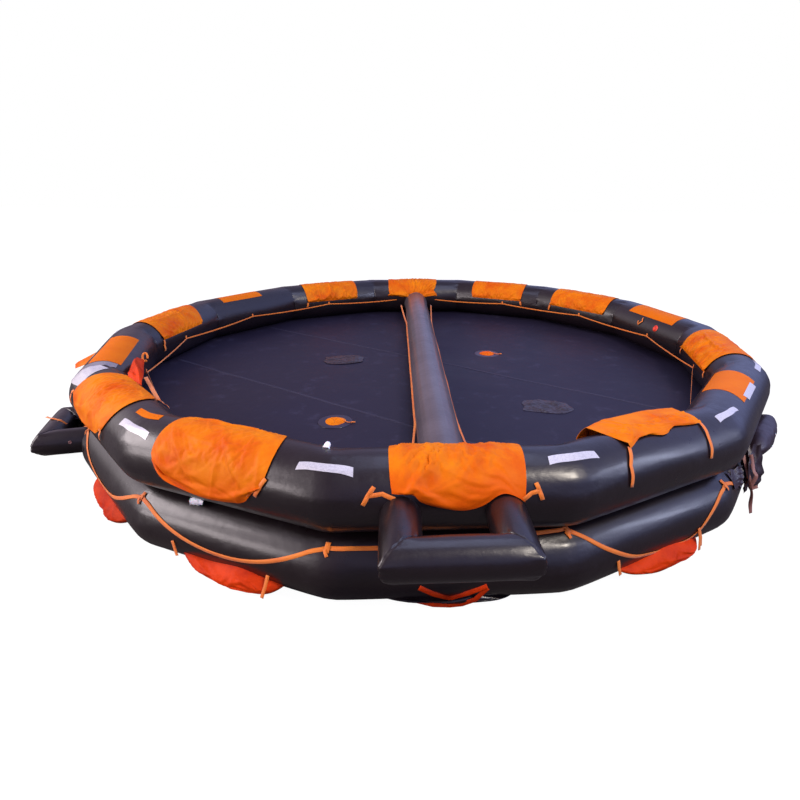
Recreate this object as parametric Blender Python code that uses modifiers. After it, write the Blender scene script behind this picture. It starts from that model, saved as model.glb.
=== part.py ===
"""Open reversible inflatable life raft: two stacked ring tubes of mitred straight lengths, a floor
between them, an inflated thwart, boarding ramps, ballast pockets, lifelines and fittings.

Metres, +Z up. The raft rests on its lower tube at z = 0. Segment 0 is the front one, at -Y, and
the segment number grows anticlockwise seen from above, towards +X.
"""

import math

import bmesh
import bpy
from mathutils import Matrix, Vector

# Ring tubes
SEGMENTS = 14
APOTHEM = 2.650
TUBE_RADIUS = 0.217
TUBE_SIDES = 32
TUBE_FLAT = 0.005
GAP = 0.0003

# Floor and thwart
FLOOR_THICKNESS = 0.004
FLOOR_BOND_ANGLE = 80.0
THWART_RADIUS = 0.143
THWART_SIDES = 24
THWART_SEGMENTS = (0, 7)

# Boarding ramps, inflated U frames on the outside of the tubes
RAMP_RADIUS = 0.105
RAMP_SIDES = 20
RAMP_HALF_WIDTH = 0.260
RAMP_REACH = 3.205
FRONT_RAMP_OFFSET = -0.026
LEFT_RAMP_OFFSET = -0.068
FRONT_RAMP_SEGMENT = 0
LEFT_RAMP_SEGMENT = 11

# Ballast pockets: segment, centre along the segment, width, inner and outer edge angles on the tube.
# A bottom pocket's side is points out from its tube's centre line and up from the ground.
POCKET_THICKNESS = 0.014
NOTCH_CLEARANCE = 0.003
TOP_POCKETS = (
    (0, 0.03, 0.68, 172.0, -4.0),
    (1, 0.03, 0.68, 175.0, 60.0),
    (3, -0.02, 0.74, 168.0, 10.0),
    (5, -0.04, 0.74, 168.0, 10.0),
    (6, 0.00, 0.68, 170.0, 10.0),
    (7, 0.04, 0.68, 171.0, 10.0),
    (8, 0.04, 0.68, 174.0, 10.0),
    (10, 0.02, 0.74, 164.0, 10.0),
    (12, -0.02, 0.74, 168.0, 6.0),
    (13, -0.04, 0.74, 166.0, -6.0),
)
BOTTOM_POCKET_WIDTH = 0.70
BOTTOM_POCKET_INNER_ANGLE = -62.0
BOTTOM_POCKET_OUTER_ANGLE = -18.0
BOTTOM_POCKET_SIDE = ((0.260, 0.0), (0.272, 0.030), (0.262, 0.080), (0.234, 0.130))

# Marking panels: segment, centre along the segment, width, inner and outer edge angles on the tube
PANEL_THICKNESS = 0.002
PANELS = (
    (2, 0.01, 0.48, 142.0, 54.0),
    (4, 0.00, 0.70, 133.0, 60.0),
    (9, 0.13, 0.54, 124.0, 52.0),
    (11, 0.08, 0.76, 124.0, 64.0),
)

# Lifelines
LINE_RADIUS = 0.006
LINE_CLEARANCE = 0.0028
ANCHOR_ANGLE = 50.0
SWAG_DROP = 58.0
LEVEL_SPANS = (FRONT_RAMP_SEGMENT, LEFT_RAMP_SEGMENT)
OUTER_POINTS_PER_SPAN = 14
INNER_LINE_ANGLE = 184.0
INNER_ANCHOR_SHIFT = 0.10
INNER_KNOT = 0.260
INNER_SAG = 0.012
THWART_ANCHORS = (1.30, 0.20, -0.82, -1.65)
THWART_LINE_START = 2.330
THWART_LINE_SPREAD = 0.055
THWART_LINE_SAG = 0.020
SAGGED_POINTS_PER_SPAN = 4

# Fittings. The lamp's and the valve's profiles are (radius, height) points from the top down.
CYLINDER_SEGMENT = 2
CYLINDER_RADIUS = 0.090
CYLINDER_LENGTH = 0.800
CYLINDER_DOME = 0.054
CYLINDER_CENTRE = 0.050
BATTERY_SEGMENT = 13
BATTERY_CENTRE = -0.234
BATTERY_RADIUS = 0.024
BATTERY_LENGTH = 0.090
BATTERY_DOME = 0.012
LAMP_SEGMENT = 13
LAMP_CENTRE = 0.545
LAMP_FACET = 9
LAMP_PROFILE = (
    (0.0, 0.036),
    (0.014, 0.032),
    (0.019, 0.013),
    (0.020, 0.009),
    (0.020, 0.0),
    (0.0, 0.0),
)
VALVE_SEGMENT = 4
VALVE_CENTRE = -0.190
VALVE_FACET = 13
VALVE_PROFILE = (
    (0.0, 0.014),
    (0.020, 0.014),
    (0.027, 0.007),
    (0.034, 0.003),
    (0.034, 0.0),
    (0.0, 0.0),
)
DRAIN_PATCH_RADIUS = 0.145
DRAIN_PATCH_THICKNESS = 0.002
DRAIN_SLEEVE_RADIUS = 0.080
DRAIN_SLEEVE_HEIGHT = 0.026
DRAINS = (("left", -0.740, -1.270), ("right", 0.690, 0.487))
SPARE_SLEEVE_SIZE = (0.400, 0.280, 0.028)
SPARE_SLEEVE_EDGE = 0.011
SPARE_SLEEVES = (("left", -0.800, 0.310, 8.0), ("right", 0.955, -1.035, -12.0))

# Heights and angles that follow from the sizes above
HALF_ANGLE = math.pi / SEGMENTS
FACET_STEP = 2.0 * math.pi / TUBE_SIDES
TUBE_APOTHEM = TUBE_RADIUS * math.cos(FACET_STEP / 2.0)
FLAT_HEIGHT = TUBE_RADIUS - TUBE_FLAT
LOWER_Z = FLAT_HEIGHT
FLOOR_BOTTOM = LOWER_Z + FLAT_HEIGHT + GAP
FLOOR_TOP = FLOOR_BOTTOM + FLOOR_THICKNESS
UPPER_Z = FLOOR_TOP + GAP + FLAT_HEIGHT
HALF_SPACING = (UPPER_Z - LOWER_Z) / 2.0
FLOOR_APOTHEM = APOTHEM + TUBE_RADIUS * math.cos(math.radians(FLOOR_BOND_ANGLE))
THWART_Z = FLOOR_TOP + GAP + THWART_RADIUS * math.cos(math.pi / THWART_SIDES)

# The origin is the middle of the raft's footprint, ramps and all, so the rings stand off from it
RING_CENTRE_X = 0.183
RING_CENTRE_Y = 0.193


def clear_scene():
    """Remove every object that the file opened with."""
    for old in list(bpy.data.objects):
        bpy.data.objects.remove(old, do_unlink=True)


def new_collection(name):
    collection = bpy.data.collections.new(name)
    bpy.context.scene.collection.children.link(collection)
    return collection


def new_material(name, colour, roughness, metallic=0.0):
    """A Principled material of one linear colour."""
    material = bpy.data.materials.new(name)
    material.use_nodes = True
    shader = material.node_tree.nodes["Principled BSDF"]
    shader.inputs["Base Color"].default_value = (*colour, 1.0)
    shader.inputs["Roughness"].default_value = roughness
    shader.inputs["Metallic"].default_value = metallic
    return material


def segment_turn(segment):
    """Turn that takes the front segment's place to another segment's."""
    return Matrix.Rotation(2.0 * HALF_ANGLE * segment, 4, "Z")


def wall_point(angle, offset=0.0):
    """Point at an angle in degrees on a tube's facets, as distances outward and up from its centre
    line. The angle is 0 at the raft's outside and 90 at the top, and offset lifts it off the facet.
    """
    turn = math.radians(angle)
    middle = (math.floor(turn / FACET_STEP + 1e-9) + 0.5) * FACET_STEP
    radius = (TUBE_APOTHEM + offset) / math.cos(turn - middle)
    return radius * math.cos(turn), radius * math.sin(turn)


def arc_angles(first, last):
    """Angles in degrees from first down to last, with each facet edge between them."""
    step = math.degrees(FACET_STEP)
    margin = 0.5
    edges = [index * step for index in range(-TUBE_SIDES, TUBE_SIDES)]
    inside = [edge for edge in edges if last + margin < edge < first - margin]
    return [first] + sorted(inside, reverse=True) + [last]


def place(obj, matrix, colour_material):
    """Put a new object in the raft's collection and frame, with its material."""
    RAFT.objects.link(obj)
    obj.parent = RING
    obj.matrix_local = matrix
    obj.data.materials.append(colour_material)
    return obj


def mesh_object(name, builder):
    """New mesh object whose geometry a bmesh function fills in."""
    mesh = bpy.data.meshes.new(name)
    shape = bmesh.new()
    builder(shape)
    shape.normal_update()
    shape.to_mesh(mesh)
    shape.free()
    return bpy.data.objects.new(name, mesh)


def edge_chain(shape, points, closed):
    """Add points to a bmesh and join them in a line of edges."""
    verts = [shape.verts.new(point) for point in points]
    ends = zip(verts, verts[1:] + verts[:1]) if closed else zip(verts, verts[1:])
    return [shape.edges.new(pair) for pair in ends]


def add_screw(obj, steps):
    """Turn a profile about the object's own Z axis."""
    screw = obj.modifiers.new("Turn", "SCREW")
    screw.axis = "Z"
    screw.steps = steps
    screw.render_steps = steps
    screw.use_merge_vertices = True
    screw.merge_threshold = 0.0001


def add_cut(obj, cutter):
    cut = obj.modifiers.new("Cut", "BOOLEAN")
    cut.operation = "DIFFERENCE"
    cut.object = cutter
    cut.solver = "EXACT"


def ring_tube(name, centre_z, top, bottom):
    """One ring: a tube section with flats where it is bonded or stands, turned in mitred lengths.

    The turned section is the mitre's, so it is stretched outward by 1 / cos of half a corner.
    """
    stretch = 1.0 / math.cos(HALF_ANGLE)
    points = []
    for index in range(TUBE_SIDES):
        turn = -index * FACET_STEP
        height = min(max(TUBE_RADIUS * math.sin(turn), -bottom), top)
        outward = APOTHEM + TUBE_RADIUS * math.cos(turn)
        points.append((outward * stretch, 0.0, centre_z + height))
    obj = mesh_object(name, lambda shape: edge_chain(shape, points, closed=True))
    add_screw(obj, SEGMENTS)
    return place(obj, Matrix.Identity(4), TUBE_FABRIC)


def prism(name, radius, sides, length):
    """Upright prism about its own Z axis, in no collection yet."""
    bpy.ops.mesh.primitive_cylinder_add(vertices=sides, radius=radius, depth=length)
    obj = bpy.context.object
    obj.name = name
    obj.data.name = name
    for collection in list(obj.users_collection):
        collection.objects.unlink(obj)
    return obj


def tube_cutter(name, segment, centre_z):
    """Straight length of ring tube, a little fat, that shapes what is bonded against it."""
    obj = prism(name, TUBE_RADIUS + 2.0 * GAP, TUBE_SIDES, 2.0 * APOTHEM * math.tan(HALF_ANGLE))
    centre = Matrix.Translation((0.0, -APOTHEM, centre_z))
    return as_cutter(obj, segment_turn(segment) @ centre @ Matrix.Rotation(math.pi / 2.0, 4, "Y"))


def as_cutter(obj, matrix):
    """Put an object among the cutters, which are not pieces of the raft."""
    CUTTERS.objects.link(obj)
    obj.parent = RING
    obj.matrix_local = matrix
    obj.hide_render = True
    obj.display_type = "WIRE"
    return obj


def floor_sheet():
    """Floor held between the two rings, reaching to the middle of the bonded strip."""
    obj = prism("floor", FLOOR_APOTHEM / math.cos(HALF_ANGLE), SEGMENTS, FLOOR_THICKNESS)
    middle = (FLOOR_BOTTOM + FLOOR_TOP) / 2.0
    corner = Matrix.Rotation(HALF_ANGLE, 4, "Z")
    place(obj, Matrix.Translation((0.0, 0.0, middle)) @ corner, FLOOR_FABRIC)


def thwart_frame():
    """Place that lays an upright prism along Y at the thwart's height, a facet down."""
    lay = Matrix.Rotation(math.pi / 2.0, 4, "X")
    facet = Matrix.Rotation(math.pi / THWART_SIDES, 4, "Z")
    return Matrix.Translation((0.0, 0.0, THWART_Z)) @ lay @ facet


def thwart(cutters):
    """Inflated tube across the raft, resting on the floor and bonded to the upper ring."""
    obj = prism("thwart", THWART_RADIUS, THWART_SIDES, 2.0 * APOTHEM)
    place(obj, thwart_frame(), TUBE_FABRIC)
    for cutter in cutters:
        add_cut(obj, cutter)


def ramp_sections(radius, height):
    """Sections along a ramp's U, as rings of points; the corner ones are stretched mitres."""
    root = APOTHEM + TUBE_RADIUS / 2.0
    path = (
        (-RAMP_HALF_WIDTH, -root, (1.0, 0.0)),
        (-RAMP_HALF_WIDTH, -RAMP_REACH, (1.0, 1.0)),
        (RAMP_HALF_WIDTH, -RAMP_REACH, (-1.0, 1.0)),
        (RAMP_HALF_WIDTH, -root, (-1.0, 0.0)),
    )
    sections = []
    for x, y, (across_x, across_y) in path:
        ring = []
        for index in range(RAMP_SIDES):
            turn = 2.0 * math.pi * (index + 0.5) / RAMP_SIDES
            side = radius * math.cos(turn)
            ring.append((x + side * across_x, y + side * across_y, height + radius * math.sin(turn)))
        sections.append(ring)
    return sections


def ramp_mesh(name, radius, height):
    """U frame of tube with mitred corners: the sections skinned one to the next, ends capped."""

    def build(shape):
        rings = [[shape.verts.new(point) for point in ring] for ring in ramp_sections(radius, height)]
        for first, second in zip(rings, rings[1:]):
            for index in range(RAMP_SIDES):
                after = (index + 1) % RAMP_SIDES
                shape.faces.new((first[index], second[index], second[after], first[after]))
        shape.faces.new(rings[0])
        shape.faces.new(reversed(rings[-1]))
        bmesh.ops.recalc_face_normals(shape, faces=shape.faces)

    return mesh_object(name, build)


def boarding_ramp(name, segment, height, cutter):
    """Ramp whose legs are bonded to the ring tube that the cutter stands for."""
    obj = ramp_mesh(name, RAMP_RADIUS, height)
    place(obj, segment_turn(segment), TUBE_FABRIC)
    add_cut(obj, cutter)


def draped_shell(name, segment, centre, width, inner, outer, thickness, fabric):
    """Sheet that follows a ring tube's wall from its inner edge over the top to its outer edge."""

    def build(shape):
        rows = []
        for angle in arc_angles(inner, outer):
            outward, up = wall_point(angle, GAP)
            rows.append((centre - width / 2.0, -APOTHEM - outward, UPPER_Z + up))
        edges = edge_chain(shape, rows, closed=False)
        swept = bmesh.ops.extrude_edge_only(shape, edges=edges)
        verts = [item for item in swept["geom"] if isinstance(item, bmesh.types.BMVert)]
        bmesh.ops.translate(shape, verts=verts, vec=(width, 0.0, 0.0))
        for face in shape.faces:
            face.normal_update()
        if sum(face.normal.z for face in shape.faces) < 0.0:
            bmesh.ops.reverse_faces(shape, faces=shape.faces)

    obj = mesh_object(name, build)
    place(obj, segment_turn(segment), fabric)
    shell = obj.modifiers.new("Thickness", "SOLIDIFY")
    shell.thickness = thickness
    shell.offset = 1.0
    shell.use_even_offset = True
    return obj


def bottom_pocket(name, segment):
    """Slack pocket in the wedge between the ground and the lower tube's outer side."""
    outline = []
    for angle in arc_angles(BOTTOM_POCKET_OUTER_ANGLE, BOTTOM_POCKET_INNER_ANGLE):
        outward, up = wall_point(angle, GAP)
        outline.append((outward, LOWER_Z + up))
    outline.append((outline[-1][0], 0.0))
    outline += BOTTOM_POCKET_SIDE
    curve = bpy.data.curves.new(name, "CURVE")
    curve.dimensions = "2D"
    curve.fill_mode = "BOTH"
    curve.extrude = BOTTOM_POCKET_WIDTH / 2.0
    curve.render_resolution_u = 0
    spline = curve.splines.new("POLY")
    spline.points.add(len(outline) - 1)
    for point, (outward, up) in zip(spline.points, outline):
        point.co = (outward, up, 0.0, 1.0)
    spline.use_cyclic_u = True
    obj = bpy.data.objects.new(name, curve)
    stand = Matrix.Rotation(-math.pi / 2.0, 4, "Z") @ Matrix.Rotation(math.pi / 2.0, 4, "X")
    centre = Matrix.Translation((0.0, -APOTHEM, 0.0))
    place(obj, segment_turn(segment) @ centre @ stand, POCKET_FABRIC)


def line_object(name, points, cyclic=False):
    """Webbing or line of round section along a chain of points."""
    curve = bpy.data.curves.new(name, "CURVE")
    curve.dimensions = "3D"
    curve.bevel_depth = LINE_RADIUS
    curve.bevel_resolution = 2
    curve.use_fill_caps = not cyclic
    curve.render_resolution_u = 0
    spline = curve.splines.new("POLY")
    spline.points.add(len(points) - 1)
    for point, place_at in zip(spline.points, points):
        point.co = (*place_at, 1.0)
    spline.use_cyclic_u = cyclic
    obj = bpy.data.objects.new(name, curve)
    place(obj, Matrix.Identity(4), WEBBING)


def outer_lifeline():
    """Line round the lower tube, fixed at every corner and swagged over the tube between them."""
    points = []
    for segment in range(SEGMENTS):
        drop = 0.0 if segment in LEVEL_SPANS else SWAG_DROP
        for index in range(OUTER_POINTS_PER_SPAN):
            fraction = 2.0 * index / OUTER_POINTS_PER_SPAN - 1.0
            angle = ANCHOR_ANGLE - drop * (1.0 - fraction * fraction)
            outward, up = wall_point(angle, LINE_RADIUS + LINE_CLEARANCE)
            along = fraction * (APOTHEM + outward) * math.tan(HALF_ANGLE)
            points.append(segment_turn(segment) @ Vector((along, -APOTHEM - outward, LOWER_Z + up)))
    line_object("outer_lifeline", points, cyclic=True)


def inner_anchor(segment, along):
    """Point where the inner lifeline is fixed to a segment's inner wall."""
    outward, up = wall_point(INNER_LINE_ANGLE, LINE_RADIUS + GAP)
    turn = 2.0 * HALF_ANGLE * segment
    radial = APOTHEM + outward
    x = radial * math.sin(turn) + along * math.cos(turn)
    y = -radial * math.cos(turn) + along * math.sin(turn)
    return (x, y, UPPER_Z + up)


def sagged(anchors, sag):
    """Points along spans between anchors, each span dipping by sag at its middle."""
    points = []
    for first, second in zip(anchors, anchors[1:]):
        for index in range(SAGGED_POINTS_PER_SPAN):
            share = index / SAGGED_POINTS_PER_SPAN
            dip = 4.0 * sag * share * (1.0 - share)
            point = [a + (b - a) * share for a, b in zip(first, second)]
            points.append((point[0], point[1], point[2] - dip))
    points.append(anchors[-1])
    return points


def inner_lifelines():
    """A line round each half of the inside, fixed at the middle of each segment's inner wall."""
    half = SEGMENTS // 2
    left = [inner_anchor(half, INNER_KNOT)]
    left += [inner_anchor(segment, INNER_ANCHOR_SHIFT) for segment in range(half + 1, SEGMENTS)]
    left.append(inner_anchor(0, -INNER_KNOT))
    line_object("inner_lifeline_left", sagged(left, INNER_SAG))
    right = [(-x, y, z) for x, y, z in left]
    line_object("inner_lifeline_right", sagged(right, INNER_SAG))


def thwart_lines():
    """Hand line along each side of the thwart, fixed to its side and led out to the ring."""
    reach = THWART_RADIUS * math.cos(math.pi / THWART_SIDES) + LINE_RADIUS + GAP
    end = reach + THWART_LINE_SPREAD
    for name, side in (("left", -1.0), ("right", 1.0)):
        anchors = [(side * end, THWART_LINE_START, THWART_Z)]
        anchors += [(side * reach, y, THWART_Z) for y in THWART_ANCHORS]
        anchors.append((side * end, -THWART_LINE_START, THWART_Z))
        line_object("thwart_line_" + name, sagged(anchors, THWART_LINE_SAG))


def turned(name, profile, matrix, colour_material, sides):
    """Turned piece from a profile of (radius, height) points that runs down its outer side."""
    points = [(radius, 0.0, height) for radius, height in profile]
    obj = mesh_object(name, lambda shape: edge_chain(shape, points, closed=False))
    add_screw(obj, sides)
    return place(obj, matrix, colour_material)


def capsule_profile(radius, length, end):
    """Half outline of a tank with domed ends that bulge by end, from its top to its bottom."""
    steps = 5
    straight = length / 2.0 - end
    top = []
    for index in range(steps + 1):
        turn = math.pi / 2.0 * (1.0 - index / steps)
        top.append((radius * math.cos(turn), straight + end * math.sin(turn)))
    return top + [(r, -z) for r, z in reversed(top)]


def in_crease(segment, centre, touch):
    """Place for a round thing that lies along a segment in the crease between the two rings, with
    its centre line at a distance of touch from each ring's.
    """
    outward = math.sqrt(touch * touch - HALF_SPACING * HALF_SPACING)
    spot = Matrix.Translation((centre, -APOTHEM - outward, LOWER_Z + HALF_SPACING))
    return segment_turn(segment) @ spot @ Matrix.Rotation(math.pi / 2.0, 4, "Y")


def on_facet(segment, centre, facet):
    """Place for a thing that stands on one of the upper ring's facets, counted from the outside."""
    turn = (facet + 0.5) * FACET_STEP
    reach = TUBE_APOTHEM + GAP
    spot = Matrix.Translation((centre, -APOTHEM - reach * math.cos(turn), UPPER_Z + reach * math.sin(turn)))
    return segment_turn(segment) @ spot @ Matrix.Rotation(math.pi / 2.0 - turn, 4, "X")


def drain(name, x, y):
    """Floor drain: a flat patch ring round a gathered fabric sleeve."""
    dome = []
    steps = 4
    for index in range(steps + 1):
        turn = math.pi / 2.0 * (1.0 - index / steps)
        lift = (DRAIN_SLEEVE_HEIGHT - DRAIN_PATCH_THICKNESS) * math.sin(turn)
        dome.append((DRAIN_SLEEVE_RADIUS * math.cos(turn), DRAIN_PATCH_THICKNESS + lift))
    profile = dome + [
        (DRAIN_PATCH_RADIUS, DRAIN_PATCH_THICKNESS),
        (DRAIN_PATCH_RADIUS, 0.0),
        (0.0, 0.0),
    ]
    spot = Matrix.Translation((x, y, FLOOR_TOP + GAP))
    turned("floor_drain_" + name, profile, spot, DRAIN_FABRIC, 24)


def spare_sleeve(name, x, y, heading):
    """The other face's drain sleeve, drawn up and lying flat on the floor."""
    bpy.ops.mesh.primitive_cube_add(size=1.0)
    obj = bpy.context.object
    obj.name = "drain_sleeve_" + name
    obj.data.name = obj.name
    obj.data.transform(Matrix.Diagonal((*SPARE_SLEEVE_SIZE, 1.0)))
    for collection in list(obj.users_collection):
        collection.objects.unlink(obj)
    height = FLOOR_TOP + GAP + SPARE_SLEEVE_SIZE[2] / 2.0
    spot = Matrix.Translation((x, y, height)) @ Matrix.Rotation(math.radians(heading), 4, "Z")
    place(obj, spot, TUBE_FABRIC)
    bevel = obj.modifiers.new("Edges", "BEVEL")
    bevel.width = SPARE_SLEEVE_EDGE
    bevel.segments = 2


clear_scene()
RAFT = new_collection("inflatable_life_raft")
CUTTERS = new_collection("cutters")
RING = bpy.data.objects.new("ring_centre", None)
RING.location = (RING_CENTRE_X, RING_CENTRE_Y, 0.0)
RAFT.objects.link(RING)

TUBE_FABRIC = new_material("coated tube fabric", (0.020, 0.016, 0.024), 0.32)
FLOOR_FABRIC = new_material("coated floor fabric", (0.028, 0.028, 0.060), 0.38)
POCKET_FABRIC = new_material("orange pocket nylon", (0.900, 0.200, 0.020), 0.60)
PANEL_FABRIC = new_material("orange panel fabric", (0.900, 0.230, 0.030), 0.50)
WEBBING = new_material("orange webbing", (0.850, 0.200, 0.020), 0.70)
DRAIN_FABRIC = new_material("drain sleeve nylon", (0.850, 0.170, 0.020), 0.60)
WHITE_PLASTIC = new_material("white moulded plastic", (0.800, 0.800, 0.780), 0.35)
VALVE_PLASTIC = new_material("orange valve cap", (0.800, 0.130, 0.040), 0.40)

ring_tube("lower_tube", LOWER_Z, FLAT_HEIGHT, FLAT_HEIGHT)
ring_tube("upper_tube", UPPER_Z, TUBE_RADIUS, FLAT_HEIGHT)
floor_sheet()

FRONT_CUTTER = tube_cutter("cut_front", 0, UPPER_Z)
BACK_CUTTER = tube_cutter("cut_back", SEGMENTS // 2, UPPER_Z)
LEFT_CUTTER = tube_cutter("cut_left", LEFT_RAMP_SEGMENT, LOWER_Z)
thwart((FRONT_CUTTER, BACK_CUTTER))
boarding_ramp("front_boarding_ramp", FRONT_RAMP_SEGMENT, UPPER_Z + FRONT_RAMP_OFFSET, FRONT_CUTTER)
boarding_ramp("left_boarding_ramp", LEFT_RAMP_SEGMENT, LOWER_Z + LEFT_RAMP_OFFSET, LEFT_CUTTER)

RAMP_CUTTER = ramp_mesh("cut_ramp_notch", RAMP_RADIUS + NOTCH_CLEARANCE, UPPER_Z + FRONT_RAMP_OFFSET)
as_cutter(RAMP_CUTTER, segment_turn(FRONT_RAMP_SEGMENT))
THWART_CUTTER = prism("cut_thwart_notch", THWART_RADIUS + NOTCH_CLEARANCE, THWART_SIDES, 2.0 * APOTHEM)
as_cutter(THWART_CUTTER, thwart_frame())
for segment, centre, width, inner, outer in TOP_POCKETS:
    pocket = draped_shell(
        f"top_pocket_{segment:02d}", segment, centre, width, inner, outer, POCKET_THICKNESS, POCKET_FABRIC
    )
    if segment == FRONT_RAMP_SEGMENT:
        add_cut(pocket, RAMP_CUTTER)
    if segment in THWART_SEGMENTS:
        add_cut(pocket, THWART_CUTTER)
    bottom_pocket(f"bottom_pocket_{segment:02d}", segment)
for segment, centre, width, inner, outer in PANELS:
    draped_shell(
        f"marking_panel_{segment:02d}", segment, centre, width, inner, outer, PANEL_THICKNESS, PANEL_FABRIC
    )

outer_lifeline()
inner_lifelines()
thwart_lines()

turned(
    "gas_cylinder",
    capsule_profile(CYLINDER_RADIUS, CYLINDER_LENGTH, CYLINDER_DOME),
    in_crease(CYLINDER_SEGMENT, CYLINDER_CENTRE, TUBE_RADIUS + CYLINDER_RADIUS),
    TUBE_FABRIC,
    24,
)
turned(
    "light_battery",
    capsule_profile(BATTERY_RADIUS, BATTERY_LENGTH, BATTERY_DOME),
    in_crease(BATTERY_SEGMENT, BATTERY_CENTRE, TUBE_APOTHEM + BATTERY_RADIUS + GAP),
    WHITE_PLASTIC,
    16,
)
turned(
    "position_light",
    LAMP_PROFILE,
    on_facet(LAMP_SEGMENT, LAMP_CENTRE, LAMP_FACET),
    WHITE_PLASTIC,
    16,
)
turned(
    "topping_up_valve",
    VALVE_PROFILE,
    on_facet(VALVE_SEGMENT, VALVE_CENTRE, VALVE_FACET),
    VALVE_PLASTIC,
    20,
)
for side, x, y in DRAINS:
    drain(side, x, y)
for side, x, y, heading in SPARE_SLEEVES:
    spare_sleeve(side, x, y, heading)
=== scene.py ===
"""Looks of an open reversible inflatable life raft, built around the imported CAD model.

Metres, +Z up. The ring tubes have 14 straight lengths. Length 0 is the front one, at -Y, and the
number grows anticlockwise seen from above. A place on a tube is a length's number, the distance
along it from its middle, and an angle round it: 0 outside, 90 on top, 180 inside.
"""

import math

import bmesh
import bpy
import numpy as np
from mathutils import Matrix, Vector


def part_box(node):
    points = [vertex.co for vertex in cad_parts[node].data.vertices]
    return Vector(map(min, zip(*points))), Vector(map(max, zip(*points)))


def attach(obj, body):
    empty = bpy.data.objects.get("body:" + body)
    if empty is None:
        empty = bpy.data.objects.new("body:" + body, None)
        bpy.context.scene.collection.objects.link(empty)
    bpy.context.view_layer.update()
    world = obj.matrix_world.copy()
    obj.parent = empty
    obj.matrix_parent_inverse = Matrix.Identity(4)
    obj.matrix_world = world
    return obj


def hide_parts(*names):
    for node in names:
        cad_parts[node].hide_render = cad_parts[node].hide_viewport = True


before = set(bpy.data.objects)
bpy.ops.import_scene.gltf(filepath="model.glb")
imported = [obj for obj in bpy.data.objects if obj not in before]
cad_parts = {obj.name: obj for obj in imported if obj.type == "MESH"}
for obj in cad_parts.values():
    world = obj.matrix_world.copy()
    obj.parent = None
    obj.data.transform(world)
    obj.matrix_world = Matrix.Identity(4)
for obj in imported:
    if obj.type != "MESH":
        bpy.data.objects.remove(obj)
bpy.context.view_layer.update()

# Camera, at the photograph's place: about 5.2 m from the raft's middle and 2.1 m up, a little to
# the left of the front ramp, looking down by 21 degrees.
low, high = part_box("upper_tube")
RING_X = (low.x + high.x) / 2.0
RING_Y = (low.y + high.y) / 2.0
CAMERA_PLACE = (-0.267, -5.196, 2.130)
CAMERA_YAW = 0.0659
CAMERA_PITCH = 0.3723
CAMERA_ROLL = 0.012
FOCAL_PIXELS = 558.5
PHOTO_PIXELS = 800.0
MIDDLE_PIXEL_ACROSS = 431.8

ahead = Vector((
    math.sin(CAMERA_YAW) * math.cos(CAMERA_PITCH),
    math.cos(CAMERA_YAW) * math.cos(CAMERA_PITCH),
    -math.sin(CAMERA_PITCH),
))
level = Vector((math.cos(CAMERA_YAW), -math.sin(CAMERA_YAW), 0.0))
upright = level.cross(ahead)
across = level * math.cos(CAMERA_ROLL) + upright * math.sin(CAMERA_ROLL)
above = upright * math.cos(CAMERA_ROLL) - level * math.sin(CAMERA_ROLL)
camera_data = bpy.data.cameras.new("camera")
camera_data.sensor_width = 36.0
camera_data.lens = camera_data.sensor_width * FOCAL_PIXELS / PHOTO_PIXELS
camera_data.shift_x = (PHOTO_PIXELS / 2.0 - MIDDLE_PIXEL_ACROSS) / PHOTO_PIXELS
camera = bpy.data.objects.new("camera", camera_data)
turned = Matrix((across, above, -ahead)).transposed().to_4x4()
offset = Vector((RING_X, RING_Y, 0.0))
camera.matrix_world = Matrix.Translation(Vector(CAMERA_PLACE) + offset) @ turned
bpy.context.scene.collection.objects.link(camera)
bpy.context.scene.camera = camera


# Studio: a pale floor, five soft boxes, and a surround that the camera sees as plain white. In
# reflections it is a pale band a third of the way up, which draws the long highlights on the tubes.
def linear(code):
    """Linear RGBA of an sRGB hex colour."""
    shares = [int(code[place:place + 2], 16) / 255.0 for place in (1, 3, 5)]
    return tuple(s / 12.92 if s <= 0.04045 else ((s + 0.055) / 1.055) ** 2.4 for s in shares) + (1.0,)


def add_node(tree, kind, settings=None, links=None):
    """Add a node, set its properties or sockets by name, and link outputs to its sockets."""
    node = tree.nodes.new(kind)
    for name, value in (settings or {}).items():
        if isinstance(name, str) and hasattr(node, name):
            setattr(node, name, value)
        else:
            node.inputs[name].default_value = value
    for name, output in (links or {}).items():
        tree.links.new(output, node.inputs[name])
    return node


def new_material(name):
    """Empty material with its Principled shader, for a section to finish."""
    material = bpy.data.materials.new(name)
    material.use_nodes = True
    return material, material.node_tree, material.node_tree.nodes["Principled BSDF"]


FLOOR_COLOUR = "#5e5a58"
FLOOR_GLOW = 0.97
SURROUND_COLOUR = "#ffffff"
SKY = ((0.05, "#efe4ea"), (0.22, "#93869a"), (0.42, "#786c82"), (0.60, "#8a92c0"), (0.95, "#9ba7e4"))
BAND = ((0.00, 0.24), (0.12, 0.52), (0.30, 0.92), (0.55, 0.85), (1.00, 0.62))
BAND_STRENGTH = 2.2

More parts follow.
